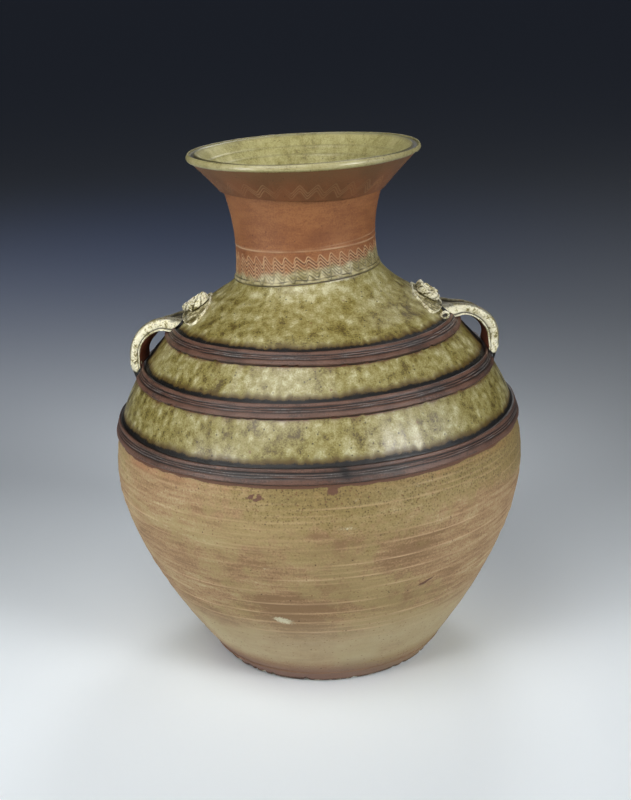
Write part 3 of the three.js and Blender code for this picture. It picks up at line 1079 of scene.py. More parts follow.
@dataclass
class SlipBand:
    """Ridged band pressed round the body and brushed with iron slip.

    Attributes:
        line: The body's outer line.
        slip: The finish.
        node: The solid that it stands for.
        rise: Height of its middle above the belly.
        seed: Chooses how it wavers.
        width: Its width along the wall.
        relief: How far it stands off the wall.
        sunk: How far its back lies in the wall.
        wobble: How far its middle wavers.
        rag: How ragged its lower edge is, as a share of the width.
        splash: Angle of a black run across it from the front, in degrees.
        rows: Points across it.
        columns: Points in one turn.
        crests: Place, half width and height of each ridge, as shares, from the lower edge.
    """

    line: BodyLine
    slip: bpy.types.Material
    node: str
    rise: float
    seed: int
    width: float = 0.0108
    relief: float = 0.0023
    sunk: float = 0.0012
    wobble: float = 0.00045
    rag: float = 0.06
    splash: float | None = None
    rows: int = 44
    columns: int = 640
    crests: tuple[tuple[float, float, float], ...] = (
        (0.19, 0.2, 0.95), (0.49, 0.05, 0.8), (0.62, 0.045, 0.74), (0.85, 0.12, 1.0))

    def middle(self, angle: np.ndarray) -> np.ndarray:
        """Height of the band's middle at each angle."""
        return self.line.belly_height + self.rise + self.wobble * Wander(self.seed, 5, 1.0).at(angle, 0.0)

    def reach(self, angle: np.ndarray) -> np.ndarray:
        """Half the band's height at each angle."""
        climb = float(self.line.climb(self.line.belly_height + self.rise))
        return 0.5 * self.width * climb * (1 + 0.05 * Wander(self.seed + 1, 9, 1.0).at(angle, 0.0))

    def build(self) -> bpy.types.Object:
        """The band as a piece."""
        share = np.concatenate([np.linspace(0, 1, self.rows), [0.7, 0.3]])[:, None]
        angle = np.linspace(-math.pi, math.pi, self.columns, endpoint=False)[None, :]
        outside = (np.arange(self.rows + 2) < self.rows).astype(float)[:, None]
        rag = self.rag * Wander(self.seed + 2, 90, 1.0, least=9).at(angle, 0.0)
        share = share + rag * (1 - smooth(0.0, 0.3, share))
        height = self.middle(angle) + (2 * share - 1) * self.reach(angle)
        profile, ridge, grey = self._profile(share, angle)
        lift = self.line.uneven(angle, height) + np.where(outside > 0, profile, -self.sunk)
        radius = self.line.radius(height) + self.line.climb(height) * lift
        height = height + self.line.lean(height) * lift
        places = np.stack([radius * np.cos(angle), radius * np.sin(angle), height], axis=-1)
        pool = smooth(0.95, 1.0, share) * outside * np.ones_like(angle)
        if self.splash is not None:
            aside = (angle - math.radians(self.splash - 90)) * self.line.belly_radius + 0.004 * (share - 0.5)
            streak = swell(aside, 0.0035 * (0.4 + 0.9 * share)) * smooth(0.1, 0.4, share)
            pool = np.maximum(pool, outside * streak)
        # grey places the painted sheen on the thin ridges.
        marks = {"ridge": ridge * outside, "grey": grey * outside, "pool": pool}
        made = piece("slipped_" + self.node, [Sheet(places, marks, rows_close=True)])
        settle(made, self.node, Slot.IRON_SLIP, self.slip)
        return made

    def _profile(self, share: np.ndarray, angle: np.ndarray) -> tuple[np.ndarray, np.ndarray, np.ndarray]:
        """Relief of the band.

        Args:
            share: Place across the band, 0 at its lower edge.
            angle: Place round it.

        Returns:
            Height above the wall, nearness to a crest, and nearness to the thin ones for the painted sheen.
        """
        shapes = []
        for number, (at, half, tall) in enumerate(self.crests):
            uneven = 1 + 0.16 * Wander(self.seed + 5 + number, 60, 1.0).at(angle, 0.0)
            drift = 0.016 * Wander(self.seed + 9 + number, 24, 1.0).at(angle, 0.0)
            shapes.append(np.clip(tall * uneven * np.exp(-(((share - at - drift) / half) ** 4)), 0, 1))
        ridge = np.max(shapes, axis=0)
        edges = smooth(-0.02, 0.09, share) * smooth(1.02, 0.95, share)
        profile = self.relief * (0.76 + 0.22 * ridge) * edges - 0.0008 * (1 - edges)
        return profile, ridge * edges, np.maximum(np.max(shapes[1:3], axis=0), 0.3 * shapes[0])


@dataclass
class LowerWall:
    """Bare lower half of the body, with throwing lines and what ran down below the lower band."""

    line: BodyLine
    clay: bpy.types.Material
    band: SlipBand
    bottom: float = 0.0099
    seam: float = 0.1755
    bevel: float = 0.005
    seat: float = 0.014
    ridge: float = 0.00045
    lines: tuple[float, ...] = (
        0.048, 0.0565, 0.066, 0.0745, 0.0835, 0.094, 0.105, 0.1156, 0.128, 0.135, 0.1474, 0.155, 0.1632)
    line_width: float = 0.00042
    fine_gap: float = 0.0041
    flute: float = 0.00012
    drop_depth: float = 0.0005
    toast: Spot = Spot(-2, 0.088, 0.1, 0.048)
    smear: Spot = Spot(-17.5, 0.1624, 0.009, 0.0028, tilt=0.05)
    drops: tuple[Spot, ...] = (
        Spot(2.7, 0.1668, 0.0042, 0.0034),
        Spot(-41, 0.1615, 0.0013, 0.0015, share=0.7),
        Spot(126, 0.1655, 0.0035, 0.0045),
        Spot(-160, 0.1648, 0.003, 0.0052),
    )
    scars: tuple[Spot, ...] = (
        Spot(29.6, 0.0895, 0.0074, 0.0011, tilt=0.35),
        Spot(28.7, 0.0884, 0.0034, 0.0012),
        Spot(-32.7, 0.0904, 0.007, 0.0007, tilt=-0.05, share=0.55),
    )
    crumbs: tuple[Spot, ...] = (
        Spot(-14.2, 0.0677, 0.0085, 0.0036, tilt=-0.25, share=0.95),
        Spot(-15.8, 0.1129, 0.0055, 0.0014, share=0.5),
        Spot(5.9, 0.1418, 0.008, 0.0018, share=0.62),
        Spot(8.5, 0.1597, 0.004, 0.0018, share=0.5),
        Spot(27, 0.1628, 0.015, 0.0032, tilt=0.12, share=0.42),
        Spot(118, 0.104, 0.008, 0.003, share=0.55),
        Spot(-104, 0.13, 0.005, 0.002, share=0.5),
    )
    columns: int = 720
    step: float = 0.0009

    def build(self) -> bpy.types.Object:
        """The lower wall as a piece."""
        outer = self.line.between(self.bottom, self.seam + 0.0003, self.step)
        inner = self.line.inside(self.seam - self.bevel, self.bottom + self.line.wall, 0.006)
        edge = outer[0] + [-0.00004, 0.00001]
        seat = np.array([[outer[0, 0] - self.seat, self.bottom], edge - [0.0001, 0]])
        wall = Turning(np.vstack([outer[:1], outer[:1] + [0.00003, 0.00004], outer[1:]]),
                       np.vstack([inner, seat]), self.columns)
        crest = self._throwing(wall) * wall.outside
        drop = self._slip(wall) * wall.outside
        flute = Wander(61, 3, 0.004, terms=20).at(wall.angle, wall.height) * self.flute
        wall.lift += (self.line.uneven(wall.angle, wall.height) - self.ridge + self.ridge * crest + flute
                      + self.drop_depth * drop) * wall.outside
        wall.mark("throwing", crest)
        wall.mark("ash", self._ash(wall) * wall.outside)
        wall.mark("slip", drop)
        wall.mark("blush", self._blush(wall))
        wall.mark("bloom", smooth(0.075, 0.04, wall.height) * smooth(0.014, 0.026, wall.height))
        hem = smooth(0.036, 0.004, wall.height + 0.003 * Wander(8, 6, 0.03).at(wall.angle, 0.0))
        wall.mark("foot", hem * BaseDisc.stained(wall.front))
        wall.mark("toast", wall.spot(self.toast))
        wall.mark("chalk", wall.spots(self.crumbs))
        wall.mark("inside", 1 - wall.outside)
        made = piece("thrown_lower_wall", [wall.sheet()])
        settle(made, "lower_wall", Slot.BARE_CLAY, self.clay)
        return made

    def _throwing(self, wall: Turning) -> np.ndarray:
        """Raised lines that a fingertip leaves, climbing in one uneven spiral, with finer ones between."""
        sway = 0.0006 * Wander(71, 6, 0.016).at(wall.angle, wall.height)
        number = np.arange(len(self.lines))
        crest = np.zeros_like(wall.lift)
        for turn in range(-1, len(self.lines) + 1):
            along = turn + wall.front / (2 * math.pi)
            on = (along >= 0) & (along <= number[-1])
            strength = np.clip(0.55 + 0.55 * Wander(300 + turn, 7, 1.0).at(wall.angle, 0.0), 0.12, 1)
            middle = np.interp(along, number, self.lines)
            strength = strength * np.interp(middle, (0.14, 0.158), (1.0, 0.4))
            crest = np.maximum(crest, on * strength * swell(wall.height + sway - middle, self.line_width))
        fine = (wall.height + 1.6 * sway) / self.fine_gap - wall.angle / (2 * math.pi)
        off = (fine - np.round(fine)) * self.fine_gap
        faint = smooth(0.1, 0.9, Wander(73, 7, 0.012).at(wall.angle, wall.height))
        crest = np.maximum(crest, 0.4 * faint * swell(off, self.line_width))
        return crest * smooth(0.04, 0.06, wall.height)

    def _ash(self, wall: Turning) -> np.ndarray:
        """Wood ash that settled under the band, thickest to the right of the front."""
        right = smooth(-0.75, 0.35, wall.front) * smooth(2.3, 1.3, wall.front)
        patch = np.clip(0.5 + 0.7 * Wander(81, 7, 0.035).at(wall.angle, wall.height), 0, 1)
        high = smooth(0.14, 0.166, wall.height + 0.014 * smooth(0.5, 1.1, wall.front))
        low = smooth(0.095, 0.152, wall.height) * 0.6
        behind = 0.3 * smooth(1.9, 2.6, np.abs(wall.front))
        return (0.3 + 0.7 * right + behind) * (0.72 * high + low * patch)

    def _blush(self, wall: Turning) -> np.ndarray:
        """Bare clay burnt red along the band's lower edge."""
        edge = self.band.middle(wall.angle) - self.band.reach(wall.angle)
        strip = swell(wall.height - edge + 0.0034, 0.0022)
        burnt = 0.35 + 0.6 * Wander(84, 9, 1.0).at(wall.angle, 0.0) + 0.3 * np.sin(wall.front)
        return strip * np.clip(burnt, 0, 1)

    def _slip(self, wall: Turning) -> np.ndarray:
        """Drops and smears of slip below the band, and dark scars."""
        edge = self.band.middle(wall.angle) - self.band.reach(wall.angle)
        fringe = (Wander(91, 60, 1.0, least=8).at(wall.angle, 0.0)
                  + 0.6 * Wander(92, 12, 1.0).at(wall.angle, 0.0))
        hem = smooth(-0.0018, -0.0004, wall.height - edge - 0.0005 * np.maximum(fringe, -0.6) + 0.0005)
        broken = 0.75 + 0.9 * Wander(93, 160, 0.0011, least=60).at(wall.angle, wall.height)
        smear = wall.spot(self.smear) * np.clip(broken, 0, 1)
        marks = np.broadcast_arrays(hem, smear, wall.spots(self.drops + self.scars))
        return np.clip(np.max(marks, axis=0), 0, 1)


@dataclass
class ShoulderWall:
    """Glazed upper half of the body, from behind the lower band to the neck."""

    line: BodyLine
    glaze: bpy.types.Material
    bands: Sequence[SlipBand]
    neck: SoftNeck
    seam: float = 0.1752
    bevel: float = 0.005
    throat: float = 0.043
    pool_reach: float = 0.0085
    fringe_reach: float = 0.015
    fillet: float = 0.0005
    run_depth: float = 0.00012
    # Pale patch at the front under the neck: painted highlight.
    thick: Spot = Spot(-1, 0.2718, 0.042, 0.0045, share=0.7)
    # Dark patches round each handle: pooled glaze at the roots, and painted shadow on the wall under the
    # loop.
    root_pools_and_loop_shadow: tuple[Spot, ...] = (
        Spot(90, 0.2065, 0.019, 0.0045),
        Spot(90, 0.224, 0.016, 0.012),
        Spot(82.5, 0.195, 0.0016, 0.012, share=0.9),
        Spot(90, 0.2485, 0.019, 0.002, share=0.75),
    )
    columns: int = 640
    step: float = 0.0009

    def build(self) -> bpy.types.Object:
        """The shoulder as a piece."""
        top = self.line.neck_root_height
        outer = self.line.between(self.seam, top, self.step)
        inner = self.line.inside(top - self.line.wall, self.seam - self.bevel, 0.005)
        wall = Turning(outer, np.vstack([[[self.throat, top]], inner]), self.columns)
        climb = self.line.climb(wall.height)
        pool, stain, fringe = (np.zeros_like(wall.lift) for _ in range(3))
        for band in self.bands:
            middle, reach = band.middle(wall.angle), band.reach(wall.angle)
            above = (wall.height - middle - reach) / climb
            below = (middle - reach - wall.height) / climb
            deep = self.pool_reach * (1 + 0.14 * Wander(band.seed + 20, 26, 1.0).at(wall.angle, 0.0)
                                      + 0.16 * Wander(band.seed + 23, 140, 1.0, least=50).at(wall.angle, 0.0))
            pool = np.maximum(pool, np.clip(1 - above / deep, 0, 1) * (above > -0.006))
            frayed = 1 + 0.9 * Wander(band.seed + 21, 80, 1.0, least=6).at(wall.angle, 0.0)
            rag = 0.0009 * np.clip(frayed, 0.1, 3)
            stain = np.maximum(stain, np.exp(-np.maximum(below, 0) / rag) * (below > -0.004))
            fringe = np.maximum(fringe, np.clip(1 - below / self.fringe_reach, 0, 1) * (below > -0.004))
        runs = self._runs(wall)
        # Pooled glaze at the handle roots, with painted shadow under each loop.
        for side in (-1, 1):
            roots = [replace(patch, front=side * patch.front) for patch in self.root_pools_and_loop_shadow]
            pool = np.maximum(pool, wall.spots(roots))
        pool = np.maximum(pool, 0.9 * swell(wall.height - top, 0.0007))
        fillet = self.fillet * smooth(0.65, 1.0, pool) + self.run_depth * runs
        wall.lift += (self.line.uneven(wall.angle, wall.height) + fillet) * wall.outside
        wall.settle(self.neck)
        wall.mark("pool", pool * wall.outside)
        wall.mark("stain", stain * wall.outside)
        wall.mark("fringe", fringe * wall.outside)
        # thick: thicker glaze along the runs, and the painted highlight at the front under the neck.
        wall.mark("thick", (wall.spot(self.thick) + 0.4 + 0.1 * runs) * wall.outside)
        wall.mark("inside", 1 - wall.outside)
        made = piece("glazed_shoulder_wall", [wall.sheet()])
        settle(made, "shoulder_wall", Slot.ASH_GLAZE, self.glaze)
        return made

    @staticmethod
    def _runs(wall: Turning) -> np.ndarray:
        """Runs of glaze down the wall."""
        return Wander(31, 70, 0.06, least=14, terms=28).at(wall.angle, wall.height)


@dataclass
class NeckCollar:
    """Waisted neck with a bead round its root, combed waves and a line drawn above them."""

    clay: bpy.types.Material
    neck: SoftNeck
    root_radius: float = 0.050
    bottom: float = float(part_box("neck_collar")[0][2])
    top: float = float(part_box("neck_collar")[1][2])
    top_radius: float = 0.0542
    waist: float = 0.0035
    wall: float = 0.007
    bead: float = 0.0009
    bead_height: float = 0.0018
    tines: int = 6
    tine_gap: float = 0.0023
    comb_height: float = 0.2822
    waves: int = 40
    swing: float = 0.0023
    burr_height: float = 0.0002
    cut_depth: float = 0.0004
    drawn: float = 0.2996
    drawn_height: float = 0.00036
    smudges: tuple[Spot, ...] = (
        Spot(12, 0.308, 0.016, 0.006, tilt=0.1, share=0.8),
        Spot(-150, 0.312, 0.02, 0.008, share=0.4),
    )
    columns: int = 880
    step: float = 0.0004

    def build(self) -> bpy.types.Object:
        """The neck as a piece."""
        third = (self.top - self.bottom) / 3
        line = bezier((self.root_radius, self.bottom - 0.0008),
                      (self.root_radius - self.waist, self.bottom + third),
                      (self.root_radius - self.waist / 2, self.top - third),
                      (self.top_radius, self.top + 0.0004))
        outer = evened(line, self.step)
        neck = Turning(outer, evened(line - [self.wall, 0], 0.004)[::-1], self.columns)
        burr, cut = (part * neck.outside for part in self._comb(neck))
        drawn = self._drawn(neck) * neck.outside
        bead = self._bead(neck) * neck.outside
        glaze = self._glaze(neck)
        sway = 0.00025 * (Wander(5, 4, 0.05).at(neck.angle, neck.height) - 1)
        combed = (self.burr_height * burr - self.cut_depth * cut) * (1 - 0.3 * glaze)
        relief = sway + self.bead * bead + self.drawn_height * drawn + combed
        neck.lift += neck.outside * relief
        neck.settle(self.neck)
        # comb marks the painted highlight on the burrs, cut the painted shadow below them.
        neck.mark("comb", burr)
        neck.mark("cut", cut)
        neck.mark("line", 0.95 * drawn)
        neck.mark("glaze", np.maximum(glaze, bead) * neck.outside)
        neck.mark("pool", np.maximum(0.72 * cut * glaze, self._dark(neck)) * neck.outside)
        neck.mark("smudge", sum(neck.spot(smudge) for smudge in self.smudges))
        neck.mark("inside", 1 - neck.outside)
        made = piece("combed_neck_collar", [neck.sheet()])
        settle(made, "neck_collar", Slot.NECK_CLAY, self.clay)
        return made

    def _comb(self, neck: Turning) -> tuple[np.ndarray, np.ndarray]:
        """Waves of a comb drawn up and down round the neck.

        Args:
            neck: The neck's skin.

        Returns:
            The burrs that its tines raised, and the grooves that they cut under them.
        """
        sway = 0.5 * Wander(51, 6, 1.0).at(neck.angle, 0.0)
        phase = self.waves * neck.angle + sway
        skewed = phase + 0.5 * np.sin(phase)
        swing = self.swing * (1 + 0.12 * Wander(55, 15, 1.0).at(neck.angle, 0.0))
        wave = swing * np.sin(skewed)
        slope = swing * np.cos(skewed) * self.waves * (1 + 0.5 * np.cos(phase)) / self.root_radius
        steep = np.hypot(1, slope)
        burr, cut = np.zeros_like(neck.lift), np.zeros_like(neck.lift)
        for tine in range(self.tines):
            off = (neck.height - self.comb_height - tine * self.tine_gap - wave) / steep
            worn = np.clip(0.8 + 0.35 * Wander(520 + tine, 30, 0.01).at(neck.angle, neck.height), 0.25, 1)
            burr = np.maximum(burr, worn * swell(off - 0.0001, 0.00032))
            cut = np.maximum(cut, worn * swell(off + 0.00068, 0.00042))
        return burr, cut

    def _drawn(self, neck: Turning) -> np.ndarray:
        """Double line above the comb, whose ends part to the right."""
        part = smooth(-0.2, 1.6, neck.front) * smooth(2.6, 1.7, neck.front)
        low = swell(neck.height - self.drawn + 0.0004 * np.sin(neck.front), 0.0005)
        high = 0.7 * swell(neck.height - self.drawn - 0.0012 - 0.003 * part, 0.0004) * (0.3 + 0.7 * part)
        return np.maximum(low, high) * np.clip(0.75 + 0.3 * Wander(59, 20, 1.0).at(neck.angle, 0.0), 0.3, 1)

    def _bead(self, neck: Turning) -> np.ndarray:
        """Bead pressed on round the root, a little wavy."""
        off = neck.height - self.bottom - self.bead_height * 0.35 - self._waver(neck)
        return swell(off, self.bead_height * 0.5)

    @staticmethod
    def _waver(neck: Turning) -> np.ndarray:
        """How the bead's line wavers."""
        return 0.00045 * Wander(53, 14, 1.0, least=3).at(neck.angle, 0.0)

    def _glaze(self, neck: Turning) -> np.ndarray:
        """Glaze creeping up from the shoulder, higher to the right."""
        rise = 0.0046 * smooth(-0.95, -0.4, neck.front) + 0.0032 * smooth(0.3, 1.2, neck.front)
        right = rise * smooth(2.9, 1.9, neck.front)
        edge = self.bottom + 0.003 + right + 0.0012 * Wander(54, 40, 1.0, least=4).at(neck.angle, 0.0)
        return smooth(0.0052, -0.0036, neck.height - edge)

    def _dark(self, neck: Turning) -> np.ndarray:
        """Dark lines above and below the bead."""
        waver = self._waver(neck)
        worn = np.clip(0.75 + 0.5 * Wander(60, 30, 1.0, least=3).at(neck.angle, 0.0), 0.1, 1)
        above = worn * swell(neck.height - self.bottom - self.bead_height * 1.05 - waver, 0.00038)
        below = 0.7 * smooth(0.0002, -0.0004, neck.height - self.bottom)
        return np.maximum(above, below)


@dataclass
class FlaredMouth:
    """Mouth that overhangs the neck in a sharp step and flares to a rounded lip with a channel on its rim."""

    glaze: bpy.types.Material
    neck: SoftNeck
    bottom: float = float(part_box("mouth_flare")[0][2])
    rim: float = float(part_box("mouth_flare")[1][2])
    rim_radius: float = float(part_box("mouth_flare")[1][0])
    neck_radius: float = 0.0542
    neck_wall: float = 0.007
    overhang: float = 0.0026
    lip_height: float = 0.0052
    undercut: float = 0.0024
    rim_width: float = 0.0068
    channel: float = 0.0016
    waves: int = 34
    tines: int = 3
    tine_gap: float = 0.0019
    swing: float = 0.0026
    comb_depth: float = 0.0003
    comb_rise: float = 0.0044
    rings: tuple[tuple[float, float, float], ...] = (
        (0.3517, 0.0005, 1.0), (0.3465, 0.0006, 1.0), (0.3398, 0.0006, 0.7))
    ring_height: float = 0.00028
    columns: int = 880

    def build(self) -> bpy.types.Object:
        """The mouth as a piece."""
        under, lip, inside = self._profile()
        outer = np.vstack([under, lip, inside])
        mouth = Turning(outer, np.array([[self.neck_radius - self.neck_wall, self.bottom]]), self.columns)
        row = np.arange(len(outer) + 1)[:, None]
        beneath = (row < len(under)).astype(float)
        within = (row >= len(under) + len(lip)).astype(float)
        comb = self._comb(mouth) * beneath
        rings = sum(share * swell(mouth.height - at, wide) for at, wide, share in self.rings)
        sway = 0.0003 * (Wander(6, 4, 0.05).at(mouth.angle, mouth.height) - 1)
        mouth.lift += sway - self.comb_depth * comb + self.ring_height * rings * within
        dip = 0.0002 * (1 + Wander(7, 3, 1.0).at(mouth.angle, 0.0))
        mouth.drop += dip * smooth(self.rim - 0.004, self.rim, mouth.height)
        mouth.settle(self.neck)
        lip_share = np.clip((row - len(under)) / len(lip), 0, 1)
        drip = 0.0004 * Wander(56, 60, 1.0, least=6).at(mouth.angle, 0.0)
        climbed = mouth.height + drip - (self.rim - self.lip_height)
        mouth.mark("glaze", np.where(beneath > 0, smooth(-0.0003, 0.0012, climbed), 1.0))
        crest = np.maximum(swell(lip_share - 0.27, 0.25), 0.8 * swell(lip_share - 0.95, 0.06))
        mouth.mark("lip", crest)
        hollow = swell(lip_share - 0.69, 0.19) * (lip_share < 1)
        mouth.mark("pool", np.maximum(hollow, 0.22 * rings * within))
        ash = smooth(self.bottom + 0.007, self.rim - self.lip_height, mouth.height)
        mouth.mark("ash", beneath * ash * 0.8)
        mouth.mark("comb", comb)
        made = piece("glazed_mouth_flare", [mouth.sheet()])
        settle(made, "mouth_flare", Slot.MOUTH_GLAZE, self.glaze)
        return made

    def _profile(self) -> tuple[np.ndarray, np.ndarray, np.ndarray]:
        """The mouth's line in three runs: under the flare, over the lip and down inside."""
        step = self.neck_radius + self.overhang
        brow = self.rim - self.lip_height
        lip_foot = self.rim_radius - self.undercut
        flare = bezier((step + 0.0004, self.bottom + 0.0008),
                       ((step + lip_foot) / 2 - 0.001, (self.bottom + brow) / 2), (lip_foot, brow))
        ledge = [(self.neck_radius - 0.001, self.bottom), (step - 0.0006, self.bottom),
                 (step, self.bottom + 0.0002)]
        under = evened(np.vstack([ledge, flare]), 0.00045)
        edge = self.rim_radius - self.rim_width
        lip = softened(np.array([
            (lip_foot, brow),
            (lip_foot + 0.0012, brow + 0.0002),
            (self.rim_radius - 0.0002, brow + 0.001),
            (self.rim_radius, brow + 0.0021),
            (self.rim_radius - 0.0002, brow + 0.0034),
            (self.rim_radius - 0.0011, self.rim),
            (self.rim_radius - 0.0022, self.rim - 0.0003),
            (self.rim_radius - 0.0027, self.rim - self.channel),
            (edge + 0.0014, self.rim - self.channel),
            (edge + 0.0010, self.rim - 0.0003),
            (edge - 0.0002, self.rim - 0.0005),
            (edge - 0.0012, self.rim - 0.0016),
        ]), 3)
        within = bezier((edge - 0.0012, self.rim - 0.0016),
                        (self.neck_radius - self.neck_wall + 0.0055, self.bottom + 0.0055),
                        (self.neck_radius - self.neck_wall, self.bottom))
        return under[:-1], evened(lip, 0.0003), evened(within, 0.0007)[1:]

    def _comb(self, mouth: Turning) -> np.ndarray:
        """Faint combed zigzag round the lower half of the flare."""
        phase = self.waves * mouth.angle + 0.6 * Wander(57, 5, 1.0).at(mouth.angle, 0.0)
        wave = self.swing * np.arcsin(0.94 * np.sin(phase)) / 1.22
        slope = self.swing / 1.22 * 0.94 * np.cos(phase) / np.sqrt(1 - (0.94 * np.sin(phase)) ** 2)
        steep = np.hypot(1.4, slope * self.waves / 0.06)
        comb = np.zeros_like(mouth.lift)
        for tine in range(self.tines):
            off = mouth.height - self.bottom - self.comb_rise - self.tine_gap * tine - wave
            comb = np.maximum(comb, swell(off / steep, 0.00024))
        faint = np.clip(0.55 + 0.45 * Wander(58, 16, 0.02, least=3).at(mouth.angle, mouth.height), 0.2, 1)
        return comb * faint * smooth(self.bottom + 0.0006, self.bottom + 0.002, mouth.height)


@dataclass
class StrapHandle:
    """Pulled strap, luted to the wall at both ends, with a rolled and grooved edge along each side."""

    line: BodyLine
    glaze: bpy.types.Material
    side: Side
    twist: float
    width: float = 0.017
    thickness: float = 0.008
    bend: float = 0.022
    bend_over: float = 0.024
    tail: float = 0.003
    buried: float = 0.005
    foot_rise: float = 0.0685
    top_rise: float = 0.104
    standoff: float = 0.0084
    spread: float = 0.9
    spread_reach: float = 0.010
    eye: float = 0.0021
    eye_roll: float = 0.0011
    upper_eye: tuple[float, float, float] = (0.0891, -0.0285, 0.2452)

    def build(self) -> bpy.types.Object:
        """The handle as a piece."""
        name = self.side.name.lower()
        path = self._path()
        sheets = [self._strap(path)] + self._eyes(path)
        cos, sin = math.cos(self.side.value), math.sin(self.side.value)
        spin = np.array([[cos, -sin, 0], [sin, cos, 0], [0, 0, 1]])
        for sheet in sheets:
            sheet.points = sheet.points @ spin.T
        made = piece(f"pulled_{name}_handle", sheets)
        settle(made, f"{name}_handle", Slot.HANDLE_GLAZE, self.glaze)
        return made

    def _path(self) -> np.ndarray:
        """Middle line of the strap, from its tail up, over and into the shoulder."""
        foot = self.line.belly_height + self.foot_rise
        top = self.line.belly_height + self.top_rise - self.thickness / 2
        reach = float(self.line.radius(foot)) + self.standoff - self.thickness / 2
        root = float(self.line.radius(top)) - self.buried
        bend, over = self.bend, self.bend_over
        up = bezier((reach - self.tail / 2, foot - self.tail), (reach, foot), (reach, top - bend))
        arch = bezier((reach, top - bend), (reach, top - bend * 0.45),
                      (reach - over * 0.42, top), (reach - over, top))
        return evened(np.vstack([up, arch[1:], [[root, top]]]), 0.0008)

    @staticmethod
    def _section() -> np.ndarray:
        """Cross-section, across the strap and outwards, in millimetres."""
        half = [(0, -3.4), (5.5, -3.7), (7.6, -4.1), (8.5, -3.7), (8.4, -3.0), (7.5, -2.5), (8.1, -1.9),
                (9.0, 0.1), (8.8, 2.0), (7.7, 3.8), (6.3, 4.4), (5.2, 4.0), (4.4, 2.8), (3.6, 2.0), (2, 2.1),
                (0, 2.2)]
        other = [(-across, out) for across, out in half[-2:0:-1]]
        return softened(np.array(half + other, dtype=float), 2, closed=True)

    def _strap(self, path: np.ndarray) -> Sheet:
        """The strap along its path.

        Args:
            path: Its middle line, outwards and up.

        Returns:
            The strap's skin, on the right side of the jar.
        """
        section = self._section()
        wide, high = section[None, :, 0], section[None, :, 1]
        aim = np.gradient(path, axis=0)
        aim /= np.linalg.norm(aim, axis=1, keepdims=True)
        run = np.linspace(0, 1, len(path))[:, None]
        lean = math.radians(self.twist) * smooth(0.0, 0.14, run) * smooth(1.0, 0.5, run)
        across = MM * (wide * np.cos(lean) - high * np.sin(lean))
        out = MM * (wide * np.sin(lean) + high * np.cos(lean)) * (1 + 0.06 * np.sin(9 * run + 0.26 * wide))
        out = out - 0.008 * np.abs(np.sin(lean))
        x = path[:, :1] + aim[:, 1:] * out - 0.003 * smooth(0.12, 0.0, run)
        z = path[:, 1:] - aim[:, :1] * out
        clear = x - self.line.radius(z)
        near = smooth(self.spread_reach, 0.0, clear)
        y = across * (1 + self.spread * near) + 0.0004 * np.sin(7 * run)
        # The grooves between the rolls get painted shade.
        top_groove = swell(np.abs(wide) - 3.9, 0.8) * (high > 0)
        side_groove = swell(high + 2.5, 0.42) * (np.abs(wide) > 7.2)
        shape = np.ones_like(x)
        lower = smooth(0.18, 0.06, run) * smooth(0.005, 0.001, clear)
        tail = 0.85 * smooth(0.1, 0.03, run) * shape
        root = 0.8 * smooth(0.0012, 0.0, clear) * (run > 0.5)
        marks = {
            "groove": shape * np.clip(np.maximum(0.85 * top_groove, side_groove), 0, 1),
            "bare": shape * (high < -3.0) * (np.abs(wide) < 7.5),
            "roll": shape * smooth(4.2, 5.6, np.abs(wide)),
            "top": shape * np.maximum(smooth(1.6, 3.6, high + 0.35 * (8.0 - np.abs(wide))) * (high > 0),
                                      0.6 * smooth(0.0, 3.4, high)) * smooth(0.04, 0.2, run),
            "pool": np.clip(np.max(np.broadcast_arrays(lower, tail, root), axis=0), 0, 1),
        }
        places = np.stack([x, y, z], axis=-1)
        return Sheet(places[:, ::-1], {name: mark[:, ::-1] for name, mark in marks.items()}, capped=True)

    def _eyes(self, path: np.ndarray) -> list[Sheet]:
        """Curled ends of the rolls: beside the upper root on one edge, beside the lower root on the other.

        Args:
            path: The strap's middle line.

        Returns:
            A ring of clay for each.
        """
        rings = []
        turn = np.linspace(0, 2 * math.pi, 32, endpoint=False)[:, None]
        round_it = np.linspace(0, 2 * math.pi, 16, endpoint=False)[None, :]
        low_x, low_z = path[int(0.14 * len(path))] - [0.0016, 0]
        for middle, face in (((low_x, self.width / 2 + 0.0007, low_z), 1), (self.upper_eye, -1)):
            uneven = 1 + 0.12 * np.sin(2 * turn + 1) + 0.06 * np.sin(5 * turn)
            far = self.eye * uneven + self.eye_roll * np.cos(round_it)
            x, z = middle[0] + far * np.cos(turn), middle[2] + far * np.sin(turn)
            y = middle[1] + face * self.eye_roll * (0.2 + np.sin(round_it)) + 0 * x
            shape = np.ones_like(x)
            # Painted shade in the eye's hollow.
            hollow = smooth(-0.1, -0.8, np.cos(round_it)) * shape
            rings.append(Sheet(np.stack([x, y, z], axis=-1)[:, ::face], {
                "groove": hollow[:, ::face], "bare": 0 * shape, "roll": shape, "top": 0.3 * shape,
                "pool": 0 * shape}, rows_close=True))
        return rings


